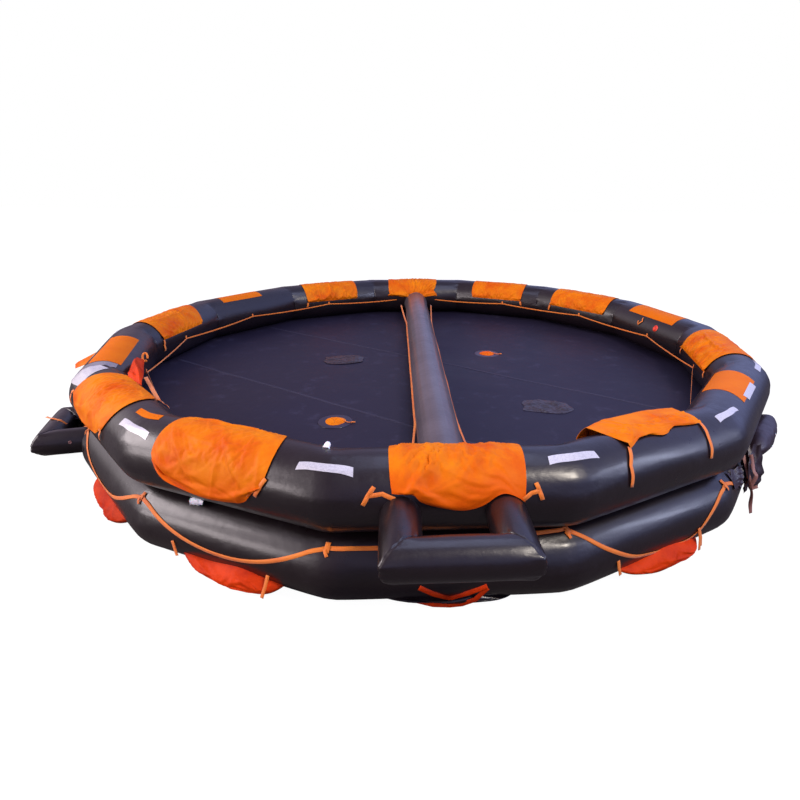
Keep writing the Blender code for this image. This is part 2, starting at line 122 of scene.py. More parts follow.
bpy.context.scene.view_settings.view_transform = "Standard"
bpy.ops.mesh.primitive_plane_add(size=80.0, location=(RING_X, RING_Y, 0.0))
studio_floor = bpy.context.object
studio_floor.name = "studio_floor"
material, tree, shader = new_material("matt pale studio floor")
shader.inputs["Base Color"].default_value = linear(FLOOR_COLOUR)
shader.inputs["Roughness"].default_value = 0.9
shader.inputs["Specular IOR Level"].default_value = 0.1
glow = add_node(tree, "ShaderNodeEmission", {"Color": linear(SURROUND_COLOUR), "Strength": FLOOR_GLOW})
lit = add_node(tree, "ShaderNodeAddShader", links={0: shader.outputs[0], 1: glow.outputs[0]})
path = add_node(tree, "ShaderNodeLightPath")
paler = add_node(
    tree,
    "ShaderNodeMixShader",
    links={0: path.outputs["Is Camera Ray"], 1: shader.outputs[0], 2: lit.outputs[0]},
)
tree.links.new(paler.outputs[0], tree.nodes["Material Output"].inputs["Surface"])
studio_floor.data.materials.append(material)

world = bpy.data.worlds.new("studio surround")
world.use_nodes = True
bpy.context.scene.world = world
tree = world.node_tree
tree.nodes.clear()
direction = add_node(tree, "ShaderNodeTexCoord")
parts = add_node(tree, "ShaderNodeSeparateXYZ", links={"Vector": direction.outputs["Generated"]})
sideways = add_node(
    tree,
    "ShaderNodeMapRange",
    {"From Min": -1.0, "From Max": 1.0},
    {"Value": parts.outputs["X"]},
)
sky = add_node(tree, "ShaderNodeValToRGB", links={"Fac": sideways.outputs["Result"]})
for place, colour in SKY[1:-1]:
    sky.color_ramp.elements.new(place)
for element, (place, colour) in zip(sky.color_ramp.elements, SKY):
    element.position = place
    element.color = linear(colour)
band = add_node(tree, "ShaderNodeValToRGB", links={"Fac": parts.outputs["Z"]})
for place, shade in BAND[1:-1]:
    band.color_ramp.elements.new(place)
for element, (place, shade) in zip(band.color_ramp.elements, BAND):
    element.position = place
    element.color = (shade, shade, shade, 1.0)
dome = add_node(
    tree,
    "ShaderNodeMix",
    {"data_type": "RGBA", "blend_type": "MULTIPLY", "Factor": 1.0},
    {6: sky.outputs["Color"], 7: band.outputs["Color"]},
)
reflected = add_node(tree, "ShaderNodeBackground", {"Strength": BAND_STRENGTH}, {"Color": dome.outputs[2]})
seen = add_node(tree, "ShaderNodeBackground", {"Color": linear(SURROUND_COLOUR), "Strength": 1.0})
path = add_node(tree, "ShaderNodeLightPath")
mixed = add_node(
    tree,
    "ShaderNodeMixShader",
    links={0: path.outputs["Is Camera Ray"], 1: reflected.outputs[0], 2: seen.outputs[0]},
)
add_node(tree, "ShaderNodeOutputWorld", links={"Surface": mixed.outputs[0]})


def soft_box(name, place, target, width, length, power, colour):
    """Rectangular area light at a place, facing a target, both from the middle of the raft."""
    data = bpy.data.lights.new(name, "AREA")
    data.shape = "RECTANGLE"
    data.size = width
    data.size_y = length
    data.energy = power
    data.color = linear(colour)[:3]
    lamp = bpy.data.objects.new(name, data)
    lamp.location = Vector(place) + offset
    aim = Vector(target) - Vector(place)
    lamp.rotation_euler = aim.to_track_quat("-Z", "Y").to_euler()
    bpy.context.scene.collection.objects.link(lamp)


soft_box("overhead", (0.6, -0.6, 6.5), (0.3, -0.6, 0.0), 5.0, 3.0, 110.0, "#ccd6ff")
soft_box("sun_side", (4.6, -7.2, 8.6), (0.2, -0.4, 0.3), 1.8, 1.8, 690.0, "#fff3e4")
soft_box("left_fill", (-8.6, -2.4, 4.6), (-1.0, -2.2, 0.5), 5.0, 3.2, 450.0, "#fff2f4")
soft_box("left_low", (-9.5, -6.0, 2.0), (-1.2, -2.5, 0.6), 4.2, 2.2, 250.0, "#fff2f4")
soft_box("right_tall", (9.3, -4.6, 4.2), (1.1, -2.6, 0.6), 0.4, 3.6, 165.0, "#dbe2ff")


# Ring tubes: black rubber-coated nylon, cut in 14 mitred lengths a ring and glued at lap seams
# under tape. Air keeps them round. The fabric is tight on a length and puckers at the mitres.
SEGMENTS = 14
HALF_ANGLE = math.pi / SEGMENTS
TUBE_RADIUS = 0.217
TUBE_FLAT = 0.005
APOTHEM = (high.y - low.y) / 2.0 - TUBE_RADIUS
UPPER_Z = high.z - TUBE_RADIUS
LOWER_Z = TUBE_RADIUS - TUBE_FLAT
CORNER_RADIUS = 0.200
STRAIGHT = (APOTHEM - CORNER_RADIUS) * math.tan(HALF_ANGLE)
HALF_LENGTH = STRAIGHT + CORNER_RADIUS * HALF_ANGLE
SEAM_TAPE_WIDTH = 0.044
SEAM_TAPE_THICKNESS = 0.0011
PUCKER_DEPTH = 0.0034
PUCKER_REACH = 0.085
WAVE_DEPTH = 0.0016
BARREL = 0.003
TUBE_COLUMNS = 56
TUBE_ROWS = 72
TUBE_SHADES = ("#120a0c", "#1c1215")
TUBE_DUST = "#4a424c"


def ring_place(segment, along, outward, z):
    """Points by their place from a ring's centre line, which is a regular polygon with round corners.

    On the straight part of a length the line runs at the apothem. Past it, the line follows an arc
    whose centre is on the corner's bisector, and its heading turns by distance over radius.
    """
    base = 2.0 * HALF_ANGLE * segment
    straight = np.clip(along, -STRAIGHT, STRAIGHT)
    heading = base + (along - straight) / CORNER_RADIUS
    reach = APOTHEM - CORNER_RADIUS
    x = reach * np.sin(base) + straight * np.cos(base) + (CORNER_RADIUS + outward) * np.sin(heading)
    y = -reach * np.cos(base) + straight * np.sin(base) - (CORNER_RADIUS + outward) * np.cos(heading)
    return np.stack(np.broadcast_arrays(RING_X + x, RING_Y + y, z), axis=-1)


def tube_radius(segment, along, turn, seed):
    """Radius of an inflated ring tube at a place: the real radius less barrel, plus what follows.

    Puckers are sines of the turn about the tube with random phases, which die out away from a mitre
    as a bell curve and are deepest inside the bend. Waves are a few long sines along and around. The
    seam tape is a raised band over each mitre.
    """
    draw = np.random.default_rng(seed)
    to_mitre = HALF_LENGTH - np.abs(along)
    corner = np.mod(segment + np.where(along > 0.0, 1, 0), SEGMENTS)
    phase = draw.uniform(0.0, 2.0 * math.pi, (SEGMENTS, 3))[corner.astype(int)]
    counts = (11.0, 17.0, 26.0)
    waves = sum(np.sin(n * turn + phase[..., i]) / (1.0 + 0.5 * i) for i, n in enumerate(counts))
    inside = 0.65 - 0.35 * np.cos(turn)
    pucker = PUCKER_DEPTH * inside * np.exp(-((to_mitre / PUCKER_REACH) ** 2)) * waves
    slow = np.zeros(np.broadcast(along, turn).shape)
    for _ in range(6):
        lengthwise = draw.uniform(2.0, 9.0)
        around = draw.integers(1, 5)
        shift = draw.uniform(0.0, 2.0 * math.pi, SEGMENTS)[np.asarray(segment, int)]
        slow = slow + np.sin(lengthwise * along + around * turn + shift)
    slow = slow * WAVE_DEPTH / 3.0 * np.clip(to_mitre / 0.10, 0.0, 1.0)
    barrel = -BARREL * (np.abs(along) / HALF_LENGTH) ** 4
    edge = np.clip((SEAM_TAPE_WIDTH / 2.0 - to_mitre) / 0.002 + 0.5, 0.0, 1.0)
    return TUBE_RADIUS - 0.001 + barrel + pucker + slow + SEAM_TAPE_THICKNESS * edge


def on_tube(ring, segment, along, angle, lift=0.0):
    """Points on a ring tube's modelled skin, at an angle in degrees, or lifted off it.

    Where the tube is pressed flat, on the ground and against the other ring, its height is clipped.
    """
    centre, seed, top, bottom = RINGS[ring]
    turn = np.radians(angle)
    passed = np.round(np.asarray(along) / (2.0 * HALF_LENGTH) - 1e-9)
    segment = np.mod(segment + passed, SEGMENTS)
    along = along - passed * 2.0 * HALF_LENGTH
    radius = tube_radius(segment, along, turn, seed) + lift
    up = np.clip(radius * np.sin(turn), -bottom, top)
    return ring_place(segment, along, radius * np.cos(turn), centre + up)


def grid_mesh(name, points, spread, wrap=(False, False), flip=False):
    """Smooth mesh of quads over an (m, n, 3) array of points, with (m, n, 2) distances as its UV map.

    A wrapped direction's last row repeats its first: the points are shared and the UV map is not.
    """
    m, n = points.shape[:2]
    rows = m - 1 if wrap[0] else m
    columns = n - 1 if wrap[1] else n
    i, j = np.meshgrid(np.arange(m - 1), np.arange(n - 1), indexing="ij")
    around = ((0, 0), (0, 1), (1, 1), (1, 0)) if flip else ((0, 0), (1, 0), (1, 1), (0, 1))
    corners = [((i + a) % rows) * columns + (j + b) % columns for a, b in around]
    quads = np.stack(corners, axis=-1).reshape(-1)
    laid = np.stack([spread[i + a, j + b] for a, b in around], axis=2).reshape(-1)
    mesh = bpy.data.meshes.new(name)
    mesh.vertices.add(rows * columns)
    mesh.vertices.foreach_set("co", points[:rows, :columns].reshape(-1).astype(np.float32))
    faces = len(quads) // 4
    mesh.loops.add(len(quads))
    mesh.loops.foreach_set("vertex_index", quads.astype(np.int32))
    mesh.polygons.add(faces)
    mesh.polygons.foreach_set("loop_start", np.arange(0, 4 * faces, 4, dtype=np.int32))
    mesh.polygons.foreach_set("use_smooth", np.ones(faces, bool))
    mesh.uv_layers.new(name="distance").data.foreach_set("uv", laid.astype(np.float32))
    mesh.update(calc_edges=True)
    mesh.validate()
    return bpy.data.objects.new(name, mesh)


def add_piece(piece, material, slot, *nodes):
    """Put a finished piece in the scene, riding on the raft, in place of the CAD nodes it stands for."""
    bpy.context.scene.collection.objects.link(piece)
    piece.data.materials.append(material)
    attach(piece, "root")
    if nodes:
        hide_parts(*nodes)
    return piece


# Calendered rubber on nylon: satin black with a purple-brown cast, a faint weave print, slow
# changes of sheen from talc and handling, and pale scuffs that catch the light.
tube_fabric, tree, shader = new_material("black rubber-coated nylon")
place = add_node(tree, "ShaderNodeTexCoord").outputs["Object"]
patches = add_node(
    tree,
    "ShaderNodeTexNoise",
    {"Scale": 2.6, "Detail": 5.0, "Roughness": 0.6},
    {"Vector": place},
)
shade = add_node(tree, "ShaderNodeMix", {"data_type": "RGBA"}, {"Factor": patches.outputs["Fac"]})
shade.inputs[6].default_value = linear(TUBE_SHADES[0])
shade.inputs[7].default_value = linear(TUBE_SHADES[1])
smears = add_node(
    tree,
    "ShaderNodeTexNoise",
    {"Scale": 9.0, "Detail": 8.0, "Roughness": 0.72},
    {"Vector": place},
)
dusty = add_node(
    tree,
    "ShaderNodeMapRange",
    {"From Min": 0.60, "From Max": 0.80, "To Min": 0.0, "To Max": 0.22},
    {"Value": smears.outputs["Fac"]},
)
dusted = add_node(
    tree,
    "ShaderNodeMix",
    {"data_type": "RGBA"},
    {"Factor": dusty.outputs["Result"], 6: shade.outputs[2]},
)
dusted.inputs[7].default_value = linear(TUBE_DUST)
tree.links.new(dusted.outputs[2], shader.inputs["Base Color"])
sheen = add_node(
    tree,
    "ShaderNodeMapRange",
    {"From Min": 0.3, "From Max": 0.7, "To Min": 0.26, "To Max": 0.40},
    {"Value": smears.outputs["Fac"]},
)
tree.links.new(sheen.outputs["Result"], shader.inputs["Roughness"])
shader.inputs["IOR"].default_value = 1.5
shader.inputs["Coat Weight"].default_value = 0.20
shader.inputs["Coat Roughness"].default_value = 0.16
WEAVE_PRINT = 0.0035
print_noise = add_node(
    tree,
    "ShaderNodeTexNoise",
    {"Scale": 1.0 / WEAVE_PRINT, "Detail": 2.0},
    {"Vector": place},
)
weave = add_node(
    tree,
    "ShaderNodeBump",
    {"Strength": 0.10, "Distance": 0.0006},
    {"Height": print_noise.outputs["Fac"]},
)
crease_noise = add_node(
    tree,
    "ShaderNodeTexNoise",
    {"Scale": 14.0, "Detail": 7.0, "Roughness": 0.62},
    {"Vector": place},
)
soft = add_node(
    tree,
    "ShaderNodeBump",
    {"Strength": 0.50, "Distance": 0.005},
    {"Height": crease_noise.outputs["Fac"], "Normal": weave.outputs["Normal"]},
)
tree.links.new(soft.outputs["Normal"], shader.inputs["Normal"])

FLAT_HEIGHT = TUBE_RADIUS - TUBE_FLAT
RINGS = {
    "lower_tube": (LOWER_Z, 11, FLAT_HEIGHT, FLAT_HEIGHT),
    "upper_tube": (UPPER_Z, 23, TUBE_RADIUS, FLAT_HEIGHT),
}
END_DENSITY = 0.6
for ring in RINGS:
    share = np.linspace(-1.0, 1.0, TUBE_COLUMNS + 1)[:-1]
    along = HALF_LENGTH * ((1.0 - END_DENSITY) * share + END_DENSITY * np.sin(share * math.pi / 2.0))
    segment = np.repeat(np.arange(SEGMENTS), TUBE_COLUMNS)
    along = np.tile(along, SEGMENTS)
    segment = np.append(segment, 0)[:, None]
    along = np.append(along, -HALF_LENGTH)[:, None]
    angle = np.linspace(0.0, 360.0, TUBE_ROWS + 1)[None, :]
    points = on_tube(ring, segment, along, angle)
    length = 2.0 * HALF_LENGTH * np.append(segment[:-1, 0], SEGMENTS) + along[:, 0]
    spread = np.stack(np.broadcast_arrays(length[:, None], np.radians(angle) * TUBE_RADIUS), axis=-1)
    tube = grid_mesh("ring_" + ring, points, spread, wrap=(True, True))
    add_piece(tube, tube_fabric, "tube_fabric", ring)


# Floor: one skin of blue-black coated nylon, made of cloths lap-welded side by side, and glued
# between the two rings. It is drawn tight, so it only waves a little, and it shows where it dries.
FLOOR_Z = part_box("floor")[1].z
FLOOR_EDGE = 0.034
FLOOR_SKIN = 0.0012
FLOOR_WAVE = 0.0026
FLOOR_COLUMNS = 16
FLOOR_ROWS = 60
CLOTH_WIDTH = 1.45
CLOTH_HEADING = -37.0
CLOTH_LAP = 0.030
SEAM_START = (-1.50, -0.37)
FLOOR_SHADES = ("#15101e", "#231f34")
FLOOR_DUST = "#5c5a74"


def floor_height(x, y):
    """Height of the floor's upper side: its level less a few long sines that die out at the ring."""
    draw = np.random.default_rng(5)
    wave = np.zeros(np.broadcast(x, y).shape)
    for _ in range(9):
        heading = draw.uniform(0.0, math.pi)
        size = draw.uniform(0.35, 1.6)
        shift = draw.uniform(0.0, 2.0 * math.pi)
        wave = wave + np.sin(2.0 * math.pi * (x * math.cos(heading) + y * math.sin(heading)) / size + shift)
    to_ring = np.clip((APOTHEM - TUBE_RADIUS - np.hypot(x, y)) / 0.5, 0.0, 1.0)
    return FLOOR_Z - 0.001 + FLOOR_WAVE * (wave / 3.0) * to_ring


def merge_doubles(piece):
    """Close a mesh at its poles and ends, where points of a row coincide."""
    shape = bmesh.new()
    shape.from_mesh(piece.data)
    bmesh.ops.remove_doubles(shape, verts=shape.verts, dist=1e-6)
    bmesh.ops.dissolve_degenerate(shape, edges=shape.edges, dist=1e-7)
    bmesh.ops.recalc_face_normals(shape, faces=shape.faces)
    shape.to_mesh(piece.data)
    shape.free()
    return piece


def add_skin(piece, thickness, offset=-1.0):
    """Give an open sheet its cloth's thickness, with a crisp edge."""
    shape = bmesh.new()
    shape.from_mesh(piece.data)
    for edge in shape.edges:
        edge.smooth = not edge.is_boundary
    shape.to_mesh(piece.data)
    shape.free()
    skin = piece.modifiers.new("Skin", "SOLIDIFY")
    skin.thickness = thickness
    skin.offset = offset
    return piece


# Polyurethane-coated nylon: satin blue-black, paler and rougher where dust and salt have dried,
# with fine scuffs in every direction.
floor_fabric, tree, shader = new_material("blue-black coated nylon")
place = add_node(tree, "ShaderNodeTexCoord").outputs["Object"]
patches = add_node(
    tree,
    "ShaderNodeTexNoise",
    {"Scale": 0.9, "Detail": 6.0, "Roughness": 0.62},
    {"Vector": place},
)
shade = add_node(tree, "ShaderNodeMix", {"data_type": "RGBA"}, {"Factor": patches.outputs["Fac"]})
shade.inputs[6].default_value = linear(FLOOR_SHADES[0])
shade.inputs[7].default_value = linear(FLOOR_SHADES[1])
smears = add_node(
    tree,
    "ShaderNodeTexNoise",
    {"Scale": 5.0, "Detail": 9.0, "Roughness": 0.75},
    {"Vector": place},
)
dusty = add_node(
    tree,
    "ShaderNodeMapRange",
    {"From Min": 0.56, "From Max": 0.80, "To Min": 0.0, "To Max": 0.35},
    {"Value": smears.outputs["Fac"]},
)
dusted = add_node(
    tree,
    "ShaderNodeMix",
    {"data_type": "RGBA"},
    {"Factor": dusty.outputs["Result"], 6: shade.outputs[2]},
)
dusted.inputs[7].default_value = linear(FLOOR_DUST)
tree.links.new(dusted.outputs[2], shader.inputs["Base Color"])
sheen = add_node(
    tree,
    "ShaderNodeMapRange",
    {"From Min": 0.3, "From Max": 0.7, "To Min": 0.46, "To Max": 0.62},
    {"Value": patches.outputs["Fac"]},
)
tree.links.new(sheen.outputs["Result"], shader.inputs["Roughness"])
shader.inputs["Specular IOR Level"].default_value = 0.28
crease_noise = add_node(
    tree,
    "ShaderNodeTexNoise",
    {"Scale": 7.0, "Detail": 7.0, "Roughness": 0.6},
    {"Vector": place},
)
soft = add_node(
    tree,
    "ShaderNodeBump",
    {"Strength": 0.35, "Distance": 0.006},
    {"Height": crease_noise.outputs["Fac"]},
)
tree.links.new(soft.outputs["Normal"], shader.inputs["Normal"])

share = np.linspace(-1.0, 1.0, FLOOR_COLUMNS + 1)[:-1]
segment = np.append(np.repeat(np.arange(SEGMENTS), FLOOR_COLUMNS), 0)
along = np.append(np.tile(share * HALF_LENGTH, SEGMENTS), -HALF_LENGTH)
rim = ring_place(segment, along, FLOOR_EDGE, 0.0)
outward = np.linspace(0.0, 1.0, FLOOR_ROWS)[:, None]
x = (rim[:, 0] - RING_X) * outward
y = (rim[:, 1] - RING_Y) * outward
points = np.stack([RING_X + x, RING_Y + y, floor_height(x, y)], axis=-1)
floor = grid_mesh("floor_membrane", points, np.stack([x, y], axis=-1), wrap=(False, True))
merge_doubles(floor)
add_skin(floor, FLOOR_SKIN)
add_piece(floor, floor_fabric, "floor_fabric", "floor")


def swept(name, path, side, face, section):
    """Closed strip or cord: a section of (sideways, facing) points carried along a path, ends closed.

    Each row is the path's point plus the section's points in the frame of side and face vectors.
    """
    section = np.array(section + section[:1], float)
    sideways = side[:, None, :] * section[None, :, :1]
    rows = path[:, None, :] + sideways + face[:, None, :] * section[None, :, 1:]
    middle = path[:, None, :] + np.zeros_like(rows)
    rows = np.concatenate([middle[:1], rows, middle[-1:]])
    step = np.linalg.norm(np.diff(path, axis=0), axis=1)
    length = np.concatenate([[0.0, 0.0], np.cumsum(step), [step.sum()]])
    across = np.append(0.0, np.cumsum(np.linalg.norm(np.diff(section, axis=0), axis=1)))
    spread = np.stack(np.broadcast_arrays(length[:, None], across[None, :]), axis=-1)
    return merge_doubles(grid_mesh(name, rows, spread, wrap=(False, True)))


def unit(vectors):
    """Vectors scaled to a length of one."""
    return vectors / np.maximum(np.linalg.norm(vectors, axis=-1, keepdims=True), 1e-12)


def strip(name, path, facing, width, thickness):
    """Flat webbing or tape along a path: the face turns to the facing vectors, the edges are eased."""
    heading = unit(np.gradient(path, axis=0))
    side = unit(np.cross(heading, facing))
    face = np.cross(side, heading)
    w, t, ease = width / 2.0, thickness / 2.0, min(thickness, width) * 0.3
    section = [(-w + ease, -t), (w - ease, -t), (w, 0.0), (w - ease, t), (-w + ease, t), (-w, 0.0)]
    return swept(name, path, side, face, section)


def join_pieces(name, pieces):
    """One object of several, which keep their own shapes, in a new mesh that takes the name."""
    shape = bmesh.new()
    for piece in pieces:
        shape.from_mesh(piece.data)
        bpy.data.objects.remove(piece)
    mesh = bpy.data.meshes.new(name)
    shape.to_mesh(mesh)
    shape.free()
    mesh.polygons.foreach_set("use_smooth", np.ones(len(mesh.polygons), bool))
    return bpy.data.objects.new(name, mesh)


def floor_seams():
    """Lap seams of the floor's cloths: flat bands on its upper side, a cloth's width apart."""
    turn = math.radians(CLOTH_HEADING)
    heading = np.array([math.cos(turn), math.sin(turn)])
    square = np.array([-heading[1], heading[0]])
    start = np.array(SEAM_START) @ square
    bands = []
    for count in (-2, -1, 0, 1):
        offset_here = start + count * CLOTH_WIDTH
        reach = math.sqrt(max((APOTHEM - TUBE_RADIUS * 0.6) ** 2 - offset_here ** 2, 0.0))
        distance = np.linspace(-reach, reach, 90)[:, None]
        flat = distance * heading + offset_here * square
        z = floor_height(flat[:, 0], flat[:, 1]) + 0.0006
        path = np.stack([RING_X + flat[:, 0], RING_Y + flat[:, 1], z], axis=-1)
        up = np.zeros_like(path) + (0.0, 0.0, 1.0)
        bands.append(strip("band", path, up, CLOTH_LAP, 0.0012))
    return join_pieces("floor_seams", bands)


def recoloured(fabric, name, dark, pale):
    """Copy of a material under another name, with other colours in place of its shades."""
    copied = fabric.copy()
    copied.name = name
    for node in copied.node_tree.nodes:
        if node.bl_idname == "ShaderNodeMix":
            node.inputs[6].default_value = linear(dark)
            node.inputs[7].default_value = linear(pale)
    return copied


# The seams' edges hold pale dust.
seam_fabric = recoloured(floor_fabric, "dusty blue-black nylon", "#242130", "#353244")
add_piece(floor_seams(), seam_fabric, "floor_fabric")


# Thwart: an inflated tube of the same fabric as the rings, across the middle. It lies on the floor
# and is glued to the upper ring at both ends. Air draws its skin into fine lengthwise ripples.
THWART_RADIUS = 0.143
THWART_Z = (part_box("thwart")[0].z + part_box("thwart")[1].z) / 2.0
THWART_REACH = APOTHEM - 0.130
THWART_FLAT = THWART_Z - FLOOR_Z
THWART_MEETS = APOTHEM - 0.205
THWART_FLARE = 0.014
RIPPLE = 0.0005
THWART_SEAM = 0.35
THWART_SEAM_HALF = 0.022

share = np.linspace(-1.0, 1.0, 161)
y = THWART_REACH * (0.7 * share + 0.3 * np.sin(share * math.pi / 2.0))[:, None]
turn = np.linspace(0.0, 2.0 * math.pi, 81)[None, :]
draw = np.random.default_rng(31)
ripples = sum(
    np.sin(count * turn + 0.8 * np.sin(draw.uniform(1.0, 2.5) * y) + draw.uniform(0.0, 6.0))
    for count in (9, 14, 21, 31)
)
flare = THWART_FLARE * np.exp(-np.maximum(THWART_MEETS - np.abs(y), 0.0) / 0.035)
to_seam = np.abs(y - THWART_SEAM)
mid_seam = 0.0009 * np.clip((THWART_SEAM_HALF - to_seam) / 0.002 + 0.5, 0.0, 1.0)
radius = THWART_RADIUS - 0.001 + RIPPLE * ripples + flare + mid_seam
up = np.maximum(radius * np.sin(turn), -THWART_FLAT)
points = np.stack(np.broadcast_arrays(RING_X + radius * np.cos(turn), RING_Y + y, THWART_Z + up), axis=-1)
spread = np.stack(np.broadcast_arrays(y, turn * THWART_RADIUS), axis=-1)
thwart = grid_mesh("thwart_tube", points, spread, wrap=(False, True), flip=True)
# The thwart's fabric is the rings' fabric made greyer all over, as painted reflection of the bright
# sky on its glossy top.
thwart_painted_sky_fabric = recoloured(tube_fabric, "black rubber-coated nylon with painted sky reflection", "#383135", "#685f64")
add_piece(thwart, thwart_painted_sky_fabric, "tube_fabric", "thwart")


# Boarding ramps: U frames of slimmer inflated tube, glued to the outside of a ring, mitred at both
# corners. The fabric gathers in fans of creases at the mitres and comes to a point outside them.
RAMP_RADIUS = 0.105
RAMP_HALF_WIDTH = 0.260
RAMP_REACH = 3.205
RAMP_ROOT = APOTHEM + 0.120
FRONT_RAMP_OFFSET = -0.026
LEFT_RAMP_OFFSET = -0.068
RAMP_PUCKER = 0.0045
RAMP_PUCKER_REACH = 0.055
RAMP_ROWS = 56


def segment_place(segment, x, y, z):
    """Points given in the front length's frame, at their place on another length of the raft."""
    turn = 2.0 * HALF_ANGLE * segment
    return np.stack(
        np.broadcast_arrays(
            RING_X + x * math.cos(turn) - y * math.sin(turn),
            RING_Y + x * math.sin(turn) + y * math.cos(turn),
            z,
        ),
        axis=-1,
    )


def ramp_tube(name, segment, height, seed):
    """U frame: each line of the tube's skin runs from the ring to the mitre, across and back.

    A line at a distance inward from the tube's centre line meets the mitre plane sooner by that much.
    Puckers fan out from each mitre as sines round the tube, which die out along it as a bell curve.
    """
    draw = np.random.default_rng(seed)
    turn = np.linspace(0.0, 2.0 * math.pi, 57)[None, :]
    share = np.linspace(0.0, 1.0, RAMP_ROWS)[:, None]
    share = 0.5 - 0.5 * np.cos(share * math.pi)
    leg = RAMP_REACH - RAMP_ROOT

    def radius_at(to_mitre, phase):
        """Radius of the skin at a distance from a mitre whose puckers have these phases."""
        counts = enumerate((5.0, 9.0, 14.0, 22.0))
        waves = sum(np.sin(n * turn + phase[i]) / (1.0 + 0.4 * i) for i, n in counts)
        pucker = RAMP_PUCKER * np.exp(-((to_mitre / RAMP_PUCKER_REACH) ** 2)) * waves / 1.6
        groove = -0.004 * np.exp(-((to_mitre / 0.007) ** 2))
        swell = -0.004 * np.exp(-to_mitre / 0.08)
        return RAMP_RADIUS - 0.003 + pucker + groove + swell

    left, right = draw.uniform(0.0, 2.0 * math.pi, (2, 4))
    first = radius_at((1.0 - share) * leg, left)
    side_in = first * np.cos(turn)
    leg_one = (-RAMP_HALF_WIDTH + side_in, -RAMP_ROOT - (leg - side_in) * share, first * np.sin(turn))
    bar_length = 2.0 * RAMP_HALF_WIDTH
    near_left = radius_at(share * bar_length, left)
    near_right = radius_at((1.0 - share) * bar_length, right)
    bar = np.where(share < 0.5, near_left, near_right)
    side_in = bar * np.cos(turn)
    run = RAMP_HALF_WIDTH - side_in
    bar_x = -run + 2.0 * run * share
    crossbar = (bar_x, -RAMP_REACH + side_in, bar * np.sin(turn))
    last = radius_at(share * leg, right)
    side_in = last * np.cos(turn)
    leg_two = (RAMP_HALF_WIDTH - side_in, -RAMP_ROOT - (leg - side_in) * (1.0 - share), last * np.sin(turn))
    parts = [np.stack(np.broadcast_arrays(*part), axis=-1) for part in (leg_one, crossbar, leg_two)]
    local = np.concatenate([parts[0], parts[1][1:], parts[2][1:]])
    slow = 0.0012 * np.sin(7.0 * local[..., 0] + 5.0 * local[..., 1] + seed)
    points = segment_place(segment, local[..., 0], local[..., 1], height + local[..., 2] + slow)
    length = np.append(0.0, np.cumsum(np.linalg.norm(np.diff(local[:, 0], axis=0), axis=1)))[:, None]
    spread = np.stack(np.broadcast_arrays(length, turn * RAMP_RADIUS), axis=-1)
    return grid_mesh(name, points, spread, wrap=(False, True), flip=True)


front_ramp = ramp_tube("front_ramp_frame", 0, UPPER_Z + FRONT_RAMP_OFFSET, 3)
add_piece(front_ramp, tube_fabric, "tube_fabric", "front_boarding_ramp")
left_ramp = ramp_tube("left_ramp_frame", 11, LOWER_Z + LEFT_RAMP_OFFSET, 4)
add_piece(left_ramp, tube_fabric, "tube_fabric", "left_boarding_ramp")


# Upper water pockets: bags of thin orange nylon that hang under the raft when it floats the other way
# up. Here they lie folded over the upper ring, sewn down along the inner edge and tied at the outer
# corners. The cloth is slack, so it is draped by simulation over the tube, the ramp and the thwart.
POCKET_CLOTH = 0.0016
POCKET_COLUMNS = 46
POCKET_ROWS = 40
POCKET_SLACK = 0.085
POCKET_LIFT = 0.007
POCKET_PUFF = 0.016
DRAPE_FRAMES = 26
OPEN_POCKET = 1
OPEN_MOUTH = 0.075
# Each pocket's sewn edge from left to right, the angle it is sewn at, and (along, angle) on its hem.
TOP_POCKETS = {
    0: (
        -0.31, 0.37, 172.0,
        ((-0.30, 24.0), (-0.25, 10.0), (-0.14, -1.0), (0.07, -5.0), (0.16, 2.0), (0.24, 20.0), (0.35, 10.0)),
    ),
    1: (-0.36, 0.35, 150.0, ((-0.27, 58.0), (-0.11, 69.0), (0.02, 64.0), (0.16, 70.0), (0.34, 66.0))),
    3: (-0.40, 0.36, 169.0, ((-0.37, 16.0), (0.00, 6.0), (0.34, 14.0))),
    5: (-0.43, 0.34, 168.0, ((-0.40, 16.0), (-0.05, 8.0), (0.32, 14.0))),
    6: (-0.34, 0.33, 170.0, ((-0.33, 16.0), (0.00, 8.0), (0.32, 14.0))),
    7: (-0.29, 0.38, 171.0, ((-0.28, 16.0), (0.04, 8.0), (0.36, 14.0))),
    8: (-0.30, 0.38, 173.0, ((-0.29, 16.0), (0.04, 8.0), (0.36, 14.0))),
    10: (-0.22, 0.45, 164.0, ((-0.40, 40.0), (-0.10, 8.0), (0.36, 14.0))),
    12: (-0.31, 0.262, 127.0, ((-0.44, 20.0), (-0.20, 4.0), (0.27, 16.0))),
    13: (-0.37, 0.160, 150.0, ((-0.40, 18.0), (-0.30, 0.0), (-0.05, -9.0), (0.19, -5.0), (0.28, 8.0))),
}
POCKET_BULGE = {12: 0.065, 13: 0.080}


def clear_of_thwart(points, gap):
    """Lift points that are beside the thwart's middle onto its top, a gap above its skin."""
    x = points[..., 0] - RING_X
    reach = THWART_RADIUS + gap
    top = THWART_Z + np.sqrt(np.maximum(reach * reach - x * x, 0.0))
    beside_it = np.abs(points[..., 1] - RING_Y) < THWART_MEETS + 0.12
    inside = (np.abs(x) < reach) & (points[..., 2] < top) & beside_it
    lifted = points.copy()
    lifted[..., 2] = np.where(inside, top, lifted[..., 2])
    return lifted


